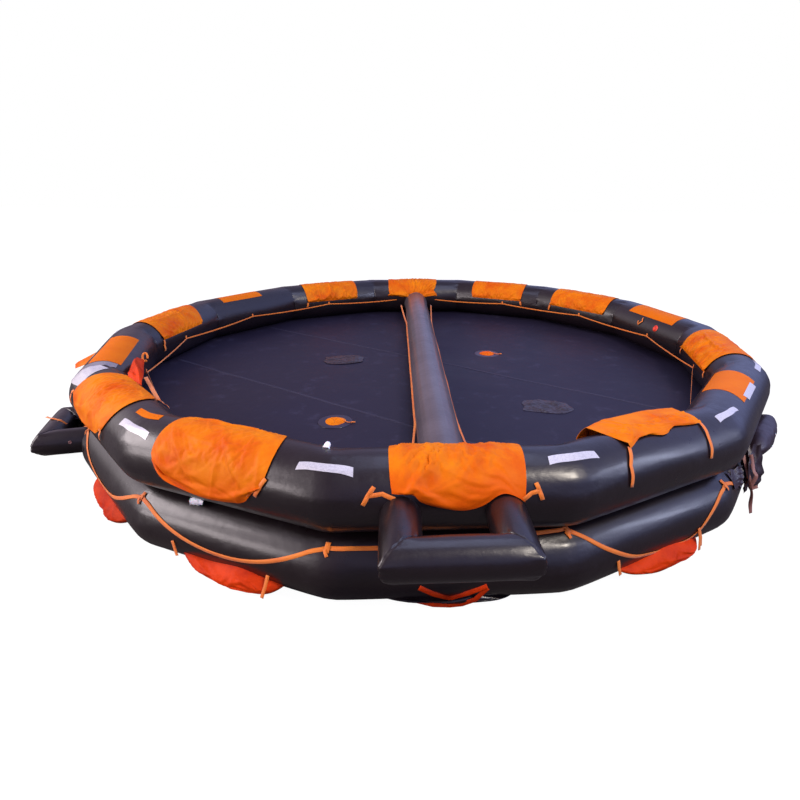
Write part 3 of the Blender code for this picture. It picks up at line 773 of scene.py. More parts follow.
def pocket_grid(segment, lift):
    """A pocket's cloth on its tube: each thread runs straight from the sewn edge to the outer hem.

    The hem goes through its places at even steps along the tube, and lift raises the cloth.
    """
    left, right, inner_angle, hem = TOP_POCKETS[segment]
    u = np.linspace(0.0, 1.0, POCKET_COLUMNS)[:, None]
    v = np.linspace(0.0, 1.0, POCKET_ROWS)[None, :]
    hem_along = hem[0][0] + (hem[-1][0] - hem[0][0]) * u
    hem_angle = np.interp(hem_along, [place[0] for place in hem], [place[1] for place in hem])
    along = (left + (right - left) * u) * (1.0 - v) + hem_along * v
    along = along + POCKET_BULGE.get(segment, 0.0) * u * 4.0 * v * (1.0 - v)
    angle = inner_angle * (1.0 - v) + hem_angle * v
    points = on_tube("upper_tube", segment, along, angle, lift)
    if segment in (0, SEGMENTS // 2):
        points = clear_of_thwart(points, POCKET_LIFT)
    return points, along, angle


def drape(cloth, held, obstacle):
    """Points of a cloth after it settles on an obstacle under gravity, held at some of its points.

    The cloth is a little larger than its grid, so what is held keeps slack in it, as folds.
    """
    scene = bpy.context.scene
    scene.collection.objects.link(cloth)
    scene.collection.objects.link(obstacle)
    group = cloth.vertex_groups.new(name="held")
    group.add([int(index) for index in np.flatnonzero(held)], 1.0, "REPLACE")
    obstacle.modifiers.new("Obstacle", "COLLISION")
    obstacle.collision.thickness_outer = 0.003
    obstacle.collision.cloth_friction = 18.0
    cloth_modifier = cloth.modifiers.new("Drape", "CLOTH")
    nylon = cloth_modifier.settings
    nylon.quality = 7
    nylon.mass = 0.12
    nylon.tension_stiffness = 22.0
    nylon.compression_stiffness = 22.0
    nylon.shear_stiffness = 8.0
    nylon.bending_stiffness = 0.010
    nylon.air_damping = 1.5
    nylon.shrink_min = -POCKET_SLACK
    nylon.vertex_group_mass = "held"
    cloth_modifier.collision_settings.distance_min = 0.003
    cloth_modifier.collision_settings.collision_quality = 3
    for number in range(1, DRAPE_FRAMES + 1):
        scene.frame_set(number)
    settled = cloth.evaluated_get(bpy.context.evaluated_depsgraph_get())
    flat = np.empty(len(settled.data.vertices) * 3, np.float32)
    settled.data.vertices.foreach_get("co", flat)
    scene.frame_set(1)
    bpy.data.objects.remove(obstacle)
    bpy.data.objects.remove(cloth)
    return flat.reshape(-1, 3).astype(float)


def drape_obstacle():
    """Coarse copy of the upper ring, with the front ramp and the thwart, for cloth to settle on."""
    share = np.linspace(-1.0, 1.0, 25)[:-1]
    segment = np.append(np.repeat(np.arange(SEGMENTS), 24), 0)[:, None]
    along = np.append(np.tile(share * HALF_LENGTH, SEGMENTS), -HALF_LENGTH)[:, None]
    points = on_tube("upper_tube", segment, along, np.linspace(0.0, 360.0, 49)[None, :])
    coarse = grid_mesh("coarse", points, points[..., :2], wrap=(True, True))
    return join_pieces("obstacle", [coarse, front_ramp.copy(), thwart.copy()])


flat_points = []
held = []
for segment in TOP_POCKETS:
    u = np.linspace(0.0, 1.0, POCKET_COLUMNS)[:, None]
    v = np.linspace(0.0, 1.0, POCKET_ROWS)[None, :]
    draw = np.random.default_rng(70 + segment)
    stir = sum(
        np.sin(draw.uniform(6.0, 22.0) * u + draw.uniform(-14.0, 14.0) * v + draw.uniform(0.0, 6.0))
        for _ in range(6)
    )
    puff = POCKET_PUFF * np.sin(math.pi * u) * np.sin(math.pi * v) + 0.0012 * stir * np.sin(math.pi * v)
    mouth = 0.0
    if segment == OPEN_POCKET:
        open_share = np.interp(u, (0.0, 0.25, 0.7, 1.0), (0.7, 1.0, 0.75, 0.35))
        mouth = OPEN_MOUTH * np.sin(math.pi * np.clip(v, 0.0, 1.0)) ** 0.8 * open_share
    points, along, angle = pocket_grid(segment, POCKET_LIFT + np.maximum(puff, 0.0) + mouth)
    flat_points.append(points.reshape(-1, 3))
    corner = (v > 0.965) & ((u < 0.04) | (u > 0.96))
    propped = (v > 0.20) & (v < 0.60) | (u < 0.03)
    hem_held = propped if segment == OPEN_POCKET else np.zeros(along.shape, bool)
    held.append(((v == 0.0) | corner | hem_held).reshape(-1))
per_pocket = POCKET_COLUMNS * POCKET_ROWS
stacked = np.concatenate(flat_points)
i, j = np.meshgrid(np.arange(POCKET_COLUMNS - 1), np.arange(POCKET_ROWS - 1), indexing="ij")
first = (i * POCKET_ROWS + j).reshape(-1)
quads = np.stack([first, first + POCKET_ROWS, first + POCKET_ROWS + 1, first + 1], axis=1)
every = np.concatenate([quads + per_pocket * count for count in range(len(TOP_POCKETS))])
cloth_mesh = bpy.data.meshes.new("cloth")
cloth_mesh.from_pydata(stacked, [], every.tolist())
cloth = bpy.data.objects.new("cloth", cloth_mesh)
stacked = drape(cloth, np.concatenate(held), drape_obstacle())
flat_points = [stacked[count * per_pocket:(count + 1) * per_pocket] for count in range(len(TOP_POCKETS))]

# Proofed ripstop nylon: clear orange with a soft sheen, redder towards the hem in random patches as
# painted shade, crinkled all over, with a fine weave that is drawn coarser than it is so that it shows.
NYLON_SHADES = ("#c84c02", "#dc7804")
# Red of the painted shade towards the hem.
NYLON_PAINTED_SHADE = "#e63a04"
NYLON_WEAVE = 0.004
pocket_nylon, tree, shader = new_material("proofed orange nylon")
place = add_node(tree, "ShaderNodeTexCoord").outputs["Object"]
patches = add_node(
    tree,
    "ShaderNodeTexNoise",
    {"Scale": 5.0, "Detail": 6.0, "Roughness": 0.6},
    {"Vector": place},
)
tone = add_node(
    tree,
    "ShaderNodeMapRange",
    {"From Min": 0.30, "From Max": 0.62},
    {"Value": patches.outputs["Fac"]},
)
shade = add_node(tree, "ShaderNodeMix", {"data_type": "RGBA"}, {"Factor": tone.outputs["Result"]})
shade.inputs[6].default_value = linear(NYLON_SHADES[0])
shade.inputs[7].default_value = linear(NYLON_SHADES[1])
# Painted shade: the nylon turns redder down the cut towards the hem, in random patches.
cut_place = add_node(tree, "ShaderNodeTexCoord").outputs["UV"]
down_cut = add_node(tree, "ShaderNodeSeparateXYZ", links={"Vector": cut_place})
near_hem = add_node(
    tree,
    "ShaderNodeMapRange",
    {"From Min": 0.50, "From Max": 0.88, "To Min": 0.0, "To Max": 1.6},
    {"Value": down_cut.outputs["Y"]},
)
painted_shade = add_node(
    tree,
    "ShaderNodeMath",
    {"operation": "MULTIPLY", "use_clamp": True},
    {0: near_hem.outputs["Result"], 1: patches.outputs["Fac"]},
)
redder = add_node(
    tree,
    "ShaderNodeMix",
    {"data_type": "RGBA"},
    {"Factor": painted_shade.outputs["Value"], 6: shade.outputs[2]},
)
redder.inputs[7].default_value = linear(NYLON_PAINTED_SHADE)
tree.links.new(redder.outputs[2], shader.inputs["Base Color"])
shader.inputs["Roughness"].default_value = 0.55
shader.inputs["Specular IOR Level"].default_value = 0.10
crinkle = add_node(
    tree,
    "ShaderNodeTexNoise",
    {"Scale": 26.0, "Detail": 6.0, "Roughness": 0.62},
    {"Vector": place},
)
fine = add_node(tree, "ShaderNodeTexNoise", {"Scale": 1.0 / NYLON_WEAVE, "Detail": 1.0}, {"Vector": place})
weave = add_node(
    tree,
    "ShaderNodeBump",
    {"Strength": 0.12, "Distance": 0.0006},
    {"Height": fine.outputs["Fac"]},
)
creased = add_node(
    tree,
    "ShaderNodeBump",
    {"Strength": 0.50, "Distance": 0.005},
    {"Height": crinkle.outputs["Fac"], "Normal": weave.outputs["Normal"]},
)
tree.links.new(creased.outputs["Normal"], shader.inputs["Normal"])

CREASES = 18
CREASE_HEIGHT = 0.0145
# Pockets whose cloth lies nearly smooth.
SMOOTH_POCKETS = (3, 5, 6, 7, 8, 10)
SMOOTH_CREASE_HEIGHT = 0.0060
FINER = 2


def refined(points, times):
    """Array of points with more rows and columns, on smooth cubic curves through the first ones."""
    for axis in (0, 1):
        rows = np.moveaxis(points, axis, 0)
        count = len(rows)
        padded = np.concatenate([2.0 * rows[:1] - rows[1:2], rows, 2.0 * rows[-1:] - rows[-2:-1]])
        place = np.linspace(0.0, count - 1.0, (count - 1) * times + 1)
        first = np.minimum(place.astype(int), count - 2)
        t = (place - first)[:, None, None]
        a, b, c, d = (padded[first + k] for k in range(4))
        curve = b + 0.5 * t * (c - a + t * (2.0 * a - 5.0 * b + 4.0 * c - d + t * (3.0 * (b - c) + d - a)))
        points = np.moveaxis(curve, 0, axis)
    return points


def creases(a, b, seed):
    """Heights of sharp folds in a pocket's cloth, over its (0 to 1, 0 to 1) places.

    Each fold is a steep ridge along a line that fans out from one of the two tied corners or from
    a place on the hem. It widens away from there, and rises and fades as a bell along the line.
    """
    draw = np.random.default_rng(seed)
    total = np.zeros(np.broadcast(a, b).shape)
    for number in range(CREASES):
        corner = number % 3
        x = (0.02, 0.98, draw.uniform(0.15, 0.85))[corner]
        y = 1.02
        ways = (draw.uniform(8.0, 85.0), draw.uniform(95.0, 172.0), draw.uniform(45.0, 135.0))
        way = math.radians(ways[corner])
        bend = draw.uniform(-0.16, 0.16)
        over = (a - x) * math.sin(way) - (y - b) * math.cos(way)
        along = (a - x) * math.cos(way) + (y - b) * math.sin(way)
        over = over + bend * along * along
        width = draw.uniform(0.016, 0.030) + 0.045 * np.clip(along, 0.0, 1.0)
        steep = np.where(over > 0.0, 1.0 - over / (width * 2.2), 1.0 + over / (width * 0.7))
        middle = draw.uniform(0.18, 0.50)
        reach = draw.uniform(0.14, 0.34)
        fade = np.exp(-(((along - middle) / reach) ** 2)) * (along > 0.0)
        total = np.maximum(total, np.clip(steep, 0.0, 1.0) ** 1.4 * fade * draw.uniform(0.45, 1.0))
    return total


def stiffer_hem(points):
    """Cloth whose last rows are evened out along the hem, which is sewn double and bends less."""
    rows = np.linspace(0.0, 1.0, points.shape[1])
    weight = np.clip((rows - 0.70) / 0.25, 0.0, 1.0)[None, :, None]
    for _ in range(6):
        even = 0.25 * points[:-2] + 0.5 * points[1:-1] + 0.25 * points[2:]
        points[1:-1] += weight * (even - points[1:-1])
    return points


for count, segment in enumerate(TOP_POCKETS):
    points = stiffer_hem(flat_points[count].reshape(POCKET_COLUMNS, POCKET_ROWS, 3))
    points = refined(points, FINER)
    columns, rows = points.shape[:2]
    a = np.linspace(0.0, 1.0, columns)[:, None]
    b = np.linspace(0.0, 1.0, rows)[None, :]
    outer = unit(np.cross(np.gradient(points, axis=1), np.gradient(points, axis=0)))
    away = points - ring_place(segment, np.zeros_like(a), 0.0, UPPER_Z)
    outer = outer * np.sign((outer * away).sum(axis=-1).mean())
    edge = np.clip(np.minimum(np.minimum(a, 1.0 - a), b) / 0.10, 0.0, 1.0)
    edge = edge * (1.0 - 0.65 * np.clip((b - 0.82) / 0.15, 0.0, 1.0))
    height = SMOOTH_CREASE_HEIGHT if segment in SMOOTH_POCKETS else CREASE_HEIGHT
    points = points + outer * (height * creases(a, b, 500 + segment) * edge)[..., None]
    step_u = np.linalg.norm(np.diff(points, axis=0), axis=-1).mean()
    step_v = np.linalg.norm(np.diff(points, axis=1), axis=-1).mean()
    i, j = np.meshgrid(np.arange(columns), np.arange(rows), indexing="ij")
    spread = np.stack([i * step_u, j * step_v], axis=-1)
    pocket = grid_mesh(f"pocket_cloth_{segment:02d}", points, spread, flip=True)
    add_skin(pocket, POCKET_CLOTH, offset=1.0)
    add_piece(pocket, pocket_nylon, "pocket_fabric", f"top_pocket_{segment:02d}")
    left, right, inner_angle, hem = TOP_POCKETS[segment]
    reach = math.radians(inner_angle - np.mean([place[1] for place in hem]))


# Lower water pockets: the same bags on the lower ring, sewn to its outer side. The raft stands on
# them, so each lies slack in the wedge between the tube and the ground, its mouth drawn up by ties.
LOWER_POCKETS = (0, 1, 3, 5, 6, 7, 8, 10, 12, 13)
LOWER_POCKET_HALF = 0.35
LOWER_POCKET_REACH = 0.262
LOWER_POCKET_TOP = -20.0
LOWER_POCKET_FOLD = 0.022
LOWER_POCKET_CUT = 0.20
TUCKED_POCKETS = (0,)
LOWER_POCKET_SHIFTS = {1: 0.030, 13: 0.030}
LOWER_COLUMNS = 64
LOWER_ROWS = 40


def lower_pocket(segment):
    """Slack bag: at each place along the tube its section is a smooth curve drawn by five points.

    They lie in the tube's skin, out over its side, at the outer hem, under it on the ground, and back
    at the tube, and each one's weight is a binomial share of the distance along the curve. Towards
    the bag's ends they draw together, where ties hold it up. Folds are the same creases as on the
    upper pockets and a few faint tents, sharp triangle waves of a slanting distance.
    """
    draw = np.random.default_rng(300 + segment)
    u = np.linspace(-1.0, 1.0, LOWER_COLUMNS)[:, None]
    v = np.linspace(0.0, 1.0, LOWER_ROWS)[None, :]
    belly = 1.0 - np.abs(u) ** np.where(u < 0.0, 2.2, 5.0)
    tucked = segment in TUCKED_POCKETS
    top = LOWER_POCKET_TOP - (24.0 if tucked else 0.0)
    turn = np.radians(top - 10.0 * (1.0 - belly) + 4.0 * np.sin(5.0 * u + segment))
    skin = TUBE_RADIUS - 0.007
    reach = (0.140 if tucked else LOWER_POCKET_REACH) + 0.007 * np.sin(7.0 * u + 2.0 * segment)
    start = (skin * np.cos(turn), LOWER_Z + skin * np.sin(turn))
    places = (
        start,
        (start[0] + 0.030, start[1] - 0.026),
        (reach + 0.020, 0.044),
        (reach - 0.004, 0.004),
        (0.140, 0.004),
    )
    drawn = np.clip(belly, 0.0, 1.0) ** 0.9
    outward = 0.0
    up = 0.0
    for k, (place_out, place_up) in enumerate(places):
        share = math.comb(4, k) * v ** k * (1.0 - v) ** (4 - k)
        outward = outward + share * (start[0] + (place_out - start[0]) * drawn)
        up = up + share * (start[1] + (place_up - start[1]) * drawn)
    folds = LOWER_POCKET_FOLD * creases(0.5 + 0.5 * u, v / 0.62, 300 + segment) * np.sin(math.pi * v) ** 0.5
    for _ in range(5):
        slant = draw.uniform(-1.3, 1.3)
        size = draw.uniform(0.20, 0.50)
        way = (u * math.cos(slant) + 0.7 * v * math.sin(slant)) / size + draw.uniform(0.0, 2.0)
        folds = folds + 0.0065 * (1.0 - np.abs(np.mod(way, 2.0) - 1.0)) * np.sin(math.pi * v)
    folds = folds * drawn
    outward = outward + folds * np.cos(v * 1.9 - 0.3) * 0.9
    up = np.maximum(up + folds * (0.55 - 0.6 * v), 0.002)
    along = u * LOWER_POCKET_HALF * (1.0 - 0.03 * np.sin(math.pi * v)) + LOWER_POCKET_SHIFTS.get(segment, 0.0)
    points = segment_place(segment, along, -(APOTHEM + outward), up)
    spread = np.stack(np.broadcast_arrays(along, v * LOWER_POCKET_CUT), axis=-1)
    bag = grid_mesh(f"lower_pocket_cloth_{segment:02d}", points, spread, flip=True)
    add_skin(bag, POCKET_CLOTH, offset=1.0)
    return bag


# The same nylon in a deep red-orange all over, as painted shade.
shaded_nylon = recoloured(pocket_nylon, "doubled orange nylon", "#9c1c02", "#d03a04")

# The front one, tucked under, is drawn in the black tube fabric.
for segment in LOWER_POCKETS:
    bag = lower_pocket(segment)
    cloth_seen = tube_fabric if segment in TUCKED_POCKETS else shaded_nylon
    add_piece(bag, cloth_seen, "pocket_fabric", f"bottom_pocket_{segment:02d}")


# Marking panels: oblongs of orange coated fabric glued to the top of the upper ring, to show from
# the air. Here they are blank. Their edges are cut straight and lie flat on the tube.
PANELS = {
    2: (-0.156, 0.345, -0.307, 0.193, 138.0, 57.0),
    4: (-0.370, 0.360, -0.340, 0.340, 133.0, 60.0),
    9: (-0.140, 0.400, -0.140, 0.380, 124.0, 54.0),
    11: (-0.250, 0.490, -0.290, 0.460, 127.0, 64.0),
}
PANEL_SKIN = 0.0011


def on_tube_patch(name, ring, segment, corners, lift, rows, columns, bow=0.0):
    """Patch of skin on a ring tube between four (along, angle) corners, its edges straight on the tube.

    A bow raises its middle by that many degrees, as a parabola along it.
    """
    u = np.linspace(0.0, 1.0, columns)[:, None]
    v = np.linspace(0.0, 1.0, rows)[None, :]
    (a, b), (c, d) = corners
    along = (a[0] * (1 - u) + b[0] * u) * (1 - v) + (c[0] * (1 - u) + d[0] * u) * v
    angle = (a[1] * (1 - u) + b[1] * u) * (1 - v) + (c[1] * (1 - u) + d[1] * u) * v
    angle = angle + bow * 4.0 * u * (1.0 - u)
    points = on_tube(ring, segment, along, angle, lift)
    spread = np.stack([along, np.radians(angle) * TUBE_RADIUS], axis=-1)
    return grid_mesh(name, points, spread, flip=True)


# Orange coated nylon: glossier than the pockets' cloth, a little chalky with sun and handling.
panel_fabric, tree, shader = new_material("orange coated marking fabric")
place = add_node(tree, "ShaderNodeTexCoord").outputs["Object"]
patches = add_node(
    tree,
    "ShaderNodeTexNoise",
    {"Scale": 7.0, "Detail": 7.0, "Roughness": 0.65},
    {"Vector": place},
)
shade = add_node(tree, "ShaderNodeMix", {"data_type": "RGBA"}, {"Factor": patches.outputs["Fac"]})
shade.inputs[6].default_value = linear("#cb5a02")
shade.inputs[7].default_value = linear("#dc7604")
tree.links.new(shade.outputs[2], shader.inputs["Base Color"])
shader.inputs["Roughness"].default_value = 0.55
shader.inputs["Specular IOR Level"].default_value = 0.08
soft = add_node(
    tree,
    "ShaderNodeBump",
    {"Strength": 0.25, "Distance": 0.003},
    {"Height": patches.outputs["Fac"]},
)
tree.links.new(soft.outputs["Normal"], shader.inputs["Normal"])

for segment, (in_left, in_right, out_left, out_right, inner_angle, outer_angle) in PANELS.items():
    corners = (
        ((in_left, inner_angle), (in_right, inner_angle)),
        ((out_left, outer_angle), (out_right, outer_angle)),
    )
    panel = on_tube_patch(f"panel_{segment:02d}", "upper_tube", segment, corners, 0.0006, 36, 44)
    add_skin(panel, PANEL_SKIN, offset=1.0)
    add_piece(panel, panel_fabric, "panel_fabric", f"marking_panel_{segment:02d}")
MITRE_PATCH = (
    ((0.467, 88.0), (HALF_LENGTH * 2.0 - 0.528, 97.0)),
    ((0.496, 77.0), (HALF_LENGTH * 2.0 - 0.512, 82.0)),
)
patch = on_tube_patch("mitre_patch", "upper_tube", 12, MITRE_PATCH, 0.0008, 14, 14)
add_skin(patch, PANEL_SKIN, offset=1.0)
add_piece(patch, panel_fabric, "panel_fabric")


# Reflective tape: silver-grey strips glued over every mitre on the upper ring's outer shoulder.
TAPE_HALF = 0.118
TAPE_SKIN = 0.0006
TAPES = {
    12: (47.0, 60.0, 43.0, 55.0, 5.0),
    13: (49.0, 61.0, 46.0, 60.0, 6.0),
    0: (58.0, 72.0, 58.0, 71.0, 5.0),
    1: (58.0, 71.0, 59.0, 69.0, 5.0),
    2: (55.0, 68.0, 52.0, 64.0, 3.0),
}

# Retroreflective film: pale grey with a violet cast, glass beads under a clear face, so it is
# smooth and bright from every side; a faint cell pattern shows, drawn coarser than it is.
silver_film, tree, shader = new_material("retroreflective film")
place = add_node(tree, "ShaderNodeTexCoord").outputs["UV"]
cells = add_node(tree, "ShaderNodeTexVoronoi", {"Scale": 180.0}, {"Vector": place})
shade = add_node(tree, "ShaderNodeMix", {"data_type": "RGBA"}, {"Factor": cells.outputs["Distance"]})
shade.inputs[6].default_value = linear("#d2d0d4")
shade.inputs[7].default_value = linear("#b6b4bb")
tree.links.new(shade.outputs[2], shader.inputs["Base Color"])
shader.inputs["Roughness"].default_value = 0.35
shader.inputs["Metallic"].default_value = 0.15
shader.inputs["Coat Weight"].default_value = 0.4
shader.inputs["Coat Roughness"].default_value = 0.15

tapes = []
for segment in range(SEGMENTS):
    a, b, c, d, bow = TAPES.get(segment, (50.0, 62.0, 50.0, 62.0, 4.0))
    first, last = HALF_LENGTH - TAPE_HALF, HALF_LENGTH + TAPE_HALF
    corners = (((first, b), (last, d)), ((first, a), (last, c)))
    tape = on_tube_patch("tape", "upper_tube", segment, corners, 0.0009, 8, 40, bow)
    add_skin(tape, TAPE_SKIN, offset=1.0)
    tapes.append(tape)
SHORT_TAPE = (((-0.205, 64.0), (0.120, 64.0)), ((-0.195, 51.0), (0.120, 51.0)))
short = on_tube_patch("tape", "upper_tube", 2, SHORT_TAPE, 0.0022, 12, 24)
tapes.append(add_skin(short, TAPE_SKIN, offset=1.0))
for count, tape in enumerate(tapes):
    tape.name = f"reflective_tape_{count:02d}"
    tape.data.name = tape.name
    add_piece(tape, silver_film, "white_plastic")


# Lifelines: orange polyester webbing. The outer one swags from mitre to mitre on the lower ring.
# The inner ones run in straight spans round each half of the well, and a pair runs along the thwart.
WEBBING_WIDTH = 0.024
WEBBING_THICKNESS = 0.0018
LINE_WIDTH = 0.013
ANCHOR_ANGLE = 50.0
SWAG_DROP = 52.0
LEVEL_SPANS = (11,)
SWAG_PLACES = {
    0: ((-0.605, 50.0), (-0.39, 49.0), (0.10, 52.0), (0.446, 64.0), (0.605, 68.0)),
    1: (
        (-0.605, 68.0), (-0.55, 50.0), (-0.448, 27.0), (-0.30, 4.0), (-0.198, -9.0), (0.08, -24.0),
        (0.300, -23.0), (0.399, 8.0), (0.605, 48.0),
    ),
}
RAISED_ANCHORS = {0: 16.0}
INNER_ANGLE = 184.0
LINE_SAG = 0.012
ANCHOR_TAB_HEIGHTS = (-0.012, 0.0, 0.014, 0.028)
ANCHOR_TAB_BACK = 0.004
ANCHOR_TAB_WIDTH = 0.020

# Woven polyester webbing: ribs along its length, a matt sheen, and darker where it is handled.
webbing, tree, shader = new_material("orange polyester webbing")
along_way = add_node(tree, "ShaderNodeTexCoord").outputs["UV"]
place = add_node(tree, "ShaderNodeTexCoord").outputs["Object"]
patches = add_node(tree, "ShaderNodeTexNoise", {"Scale": 8.0, "Detail": 4.0}, {"Vector": place})
shade = add_node(tree, "ShaderNodeMix", {"data_type": "RGBA"}, {"Factor": patches.outputs["Fac"]})
shade.inputs[6].default_value = linear("#cf560a")
shade.inputs[7].default_value = linear("#ee8a16")
tree.links.new(shade.outputs[2], shader.inputs["Base Color"])
shader.inputs["Roughness"].default_value = 0.62
shader.inputs["Sheen Weight"].default_value = 0.2
WEBBING_RIB = 0.0035
ribs = add_node(
    tree,
    "ShaderNodeTexWave",
    {"wave_type": "BANDS", "bands_direction": "X", "Scale": 0.314 / WEBBING_RIB, "Distortion": 0.6},
    {"Vector": along_way},
)
soft = add_node(
    tree,
    "ShaderNodeBump",
    {"Strength": 0.4, "Distance": 0.0008},
    {"Height": ribs.outputs["Color"]},
)
tree.links.new(soft.outputs["Normal"], shader.inputs["Normal"])


def outer_swag(segment):
    """Path of the outer lifeline over one length: a parabola in the angle round the tube.

    Two lengths beside the front ramp are drawn through places of their own, by smooth steps.
    """
    share = np.linspace(-1.0, 1.0, 61)
    along = share * HALF_LENGTH
    if segment in SWAG_PLACES:
        places = np.array(SWAG_PLACES[segment])
        angle = np.interp(along, places[:, 0], places[:, 1])
        for _ in range(6):
            angle[1:-1] = 0.25 * angle[:-2] + 0.5 * angle[1:-1] + 0.25 * angle[2:]
    else:
        drop = 0.0 if segment in LEVEL_SPANS else SWAG_DROP
        angle = ANCHOR_ANGLE - drop * (1.0 - share * share)
    path = on_tube("lower_tube", segment, along, angle, 0.0025 + 0.5 * WEBBING_THICKNESS)
    outer = on_tube("lower_tube", segment, along, angle, 0.05)
    return path, unit(outer - path)


spans = [outer_swag(segment) for segment in range(SEGMENTS)]
lines = [strip("span", path, facing, WEBBING_WIDTH, WEBBING_THICKNESS) for path, facing in spans]
outer_line = join_pieces("outer_lifeline_webbing", lines)
add_piece(outer_line, webbing, "webbing", "outer_lifeline")


def inner_anchor(segment, along):
    """Place where an inner lifeline is held, on the upper ring's inner side."""
    return on_tube("upper_tube", segment, np.array(along), INNER_ANGLE, 0.006)


def chord_line(name, anchors, sag, facing, width):
    """Webbing through its anchors in spans that dip by sag at their middles, one face turned one way."""
    rows = []
    for first, second in zip(anchors, anchors[1:]):
        share = np.linspace(0.0, 1.0, 14)[:-1, None]
        span = first + (second - first) * share
        span[:, 2] -= (4.0 * sag * share * (1.0 - share))[:, 0]
        rows.append(span)
    rows.append(np.array([anchors[-1]]))
    path = np.concatenate(rows)
    face = unit(facing(path))
    return strip(name, path, face, width, WEBBING_THICKNESS)


def to_middle(path):
    """Level directions from a path's points towards the middle of the raft."""
    ways = np.zeros_like(path)
    ways[:, 0] = RING_X - path[:, 0]
    ways[:, 1] = RING_Y - path[:, 1]
    return ways


HALF_RING = SEGMENTS // 2
left_anchors = [inner_anchor(HALF_RING, 0.26)]
left_anchors += [inner_anchor(segment, 0.10) for segment in range(HALF_RING + 1, SEGMENTS)]
left_anchors.append(inner_anchor(0, -0.26))
right_anchors = [np.array([2.0 * RING_X - x, y, z]) for x, y, z in left_anchors]
for side, anchors in (("left", left_anchors), ("right", right_anchors)):
    line = chord_line(f"inner_line_{side}", anchors, LINE_SAG, to_middle, LINE_WIDTH)
    loops = []
    for anchor in anchors[1:-1]:
        path = anchor + np.array([[0.0, 0.0, z] for z in ANCHOR_TAB_HEIGHTS])
        inward = to_middle(path)
        path = path - ANCHOR_TAB_BACK * unit(inward)
        loops.append(strip("loop", path, inward, ANCHOR_TAB_WIDTH, WEBBING_THICKNESS))
    add_piece(join_pieces(f"inner_line_tabs_{side}", loops), webbing, "webbing")
    add_piece(line, webbing, "webbing", f"inner_lifeline_{side}")

THWART_ANCHORS = (1.30, 0.20, -0.82, -1.65)
THWART_LINE_END = 2.330
THWART_LINE_SPREAD = 0.055
THWART_LINE_SAG = 0.018
THWART_LINE_WIDTH = 0.019
for side, sign in (("left", -1.0), ("right", 1.0)):
    beside = THWART_RADIUS + 0.004
    end_x = RING_X + sign * (beside + THWART_LINE_SPREAD)
    anchors = [np.array([end_x, RING_Y + THWART_LINE_END, THWART_Z])]
    anchors += [np.array([RING_X + sign * beside, RING_Y + y, THWART_Z]) for y in THWART_ANCHORS]
    anchors.append(np.array([end_x, RING_Y - THWART_LINE_END, THWART_Z]))
    line = chord_line(
        f"thwart_hand_line_{side}",
        anchors,
        THWART_LINE_SAG,
        lambda path: path * 0.0 + (0.5 * sign, 0.0, 0.85),
        THWART_LINE_WIDTH,
    )
    add_piece(line, webbing, "webbing", f"thwart_line_{side}")


# Ties and tabs: short lengths of the same webbing. Some tie the pockets' corners to patches on the
# tube, some hang loose, and a tab holds the outer lifeline down at every mitre.
TIE_WIDTH = 0.022
TAB_WIDTH = 0.028
TIES = {
    0: (
        ((-0.285, 17.0), (-0.345, 24.0), (-0.410, 22.0)),
        ((-0.385, 33.0), (-0.415, 22.0), (-0.440, 10.0)),
        ((0.335, 12.0), (0.380, 21.0), (0.420, 24.0)),
        ((0.405, 34.0), (0.420, 24.0), (0.437, 12.0)),
    ),
    1: (
        ((-0.272, 60.0), (-0.322, 36.0), (-0.340, 7.0)),
        ((0.332, 68.0), (0.316, 40.0), (0.298, 10.0)),
        ((0.350, 172.0), (0.365, 182.0)),
    ),
    3: (((-0.395, 168.0), (-0.410, 181.0)), ((0.350, 170.0), (0.362, 184.0)), ((0.33, 14.0), (0.345, -8.0))),
    5: (((0.340, 169.0), (0.352, 186.0)), ((-0.39, 16.0), (-0.40, -8.0)), ((0.31, 14.0), (0.325, -8.0))),
    6: (((-0.340, 171.0), (-0.352, 184.0)), ((-0.32, 16.0), (-0.335, -8.0)), ((0.31, 14.0), (0.325, -8.0))),
    7: (((-0.28, 16.0), (-0.30, -8.0)), ((0.35, 14.0), (0.365, -8.0))),
    8: (((0.380, 174.0), (0.392, 188.0)), ((-0.28, 16.0), (-0.30, -8.0)), ((0.35, 14.0), (0.365, -8.0))),
    10: (
        ((0.448, 165.0), (0.466, 177.0), (0.462, 192.0)),
        ((-0.39, 40.0), (-0.42, 16.0)),
        ((0.35, 14.0), (0.37, -8.0)),
    ),
    12: (
        ((0.255, 22.0), (0.292, 17.0), (0.276, 2.0)),
        ((0.262, 128.0), (0.300, 138.0), (0.330, 146.0)),
        ((-0.47, 30.0), (-0.505, 20.0), (-0.50, 4.0)),
    ),
    13: (
        ((0.215, -2.0), (0.262, 8.0), (0.312, 15.0)),
        ((0.285, 2.0), (0.314, 15.0), (0.344, 29.0)),
        ((0.325, 150.0), (0.352, 156.0), (0.368, 160.0)),
    ),
}
LOWER_TIES = (
    ((-0.345, 0.217, 0.205), (-0.337, 0.223, 0.155), (-0.325, 0.228, 0.110)),
    ((0.330, 0.219, 0.200), (0.343, 0.230, 0.130), (0.345, 0.240, 0.050)),
    ((0.338, 0.216, 0.190), (0.362, 0.224, 0.125), (0.368, 0.230, 0.065)),
)
OTHER_LOWER_TIES = {
    0: (),
    12: (),
    13: (
        ((-0.350, 0.219, 0.205), (-0.338, 0.222, 0.150), (-0.325, 0.226, 0.115)),
        ((0.305, 0.216, 0.165), (0.300, 0.240, 0.110), (0.290, 0.266, 0.050)),
    ),
}


def through(places, count):
    """Steps from the first place to the last, and each column of straight runs through the places."""
    places = np.array(places, float)
    step = np.linspace(0.0, len(places) - 1.0, count)
    return step, [np.interp(step, np.arange(len(places)), column) for column in places.T]


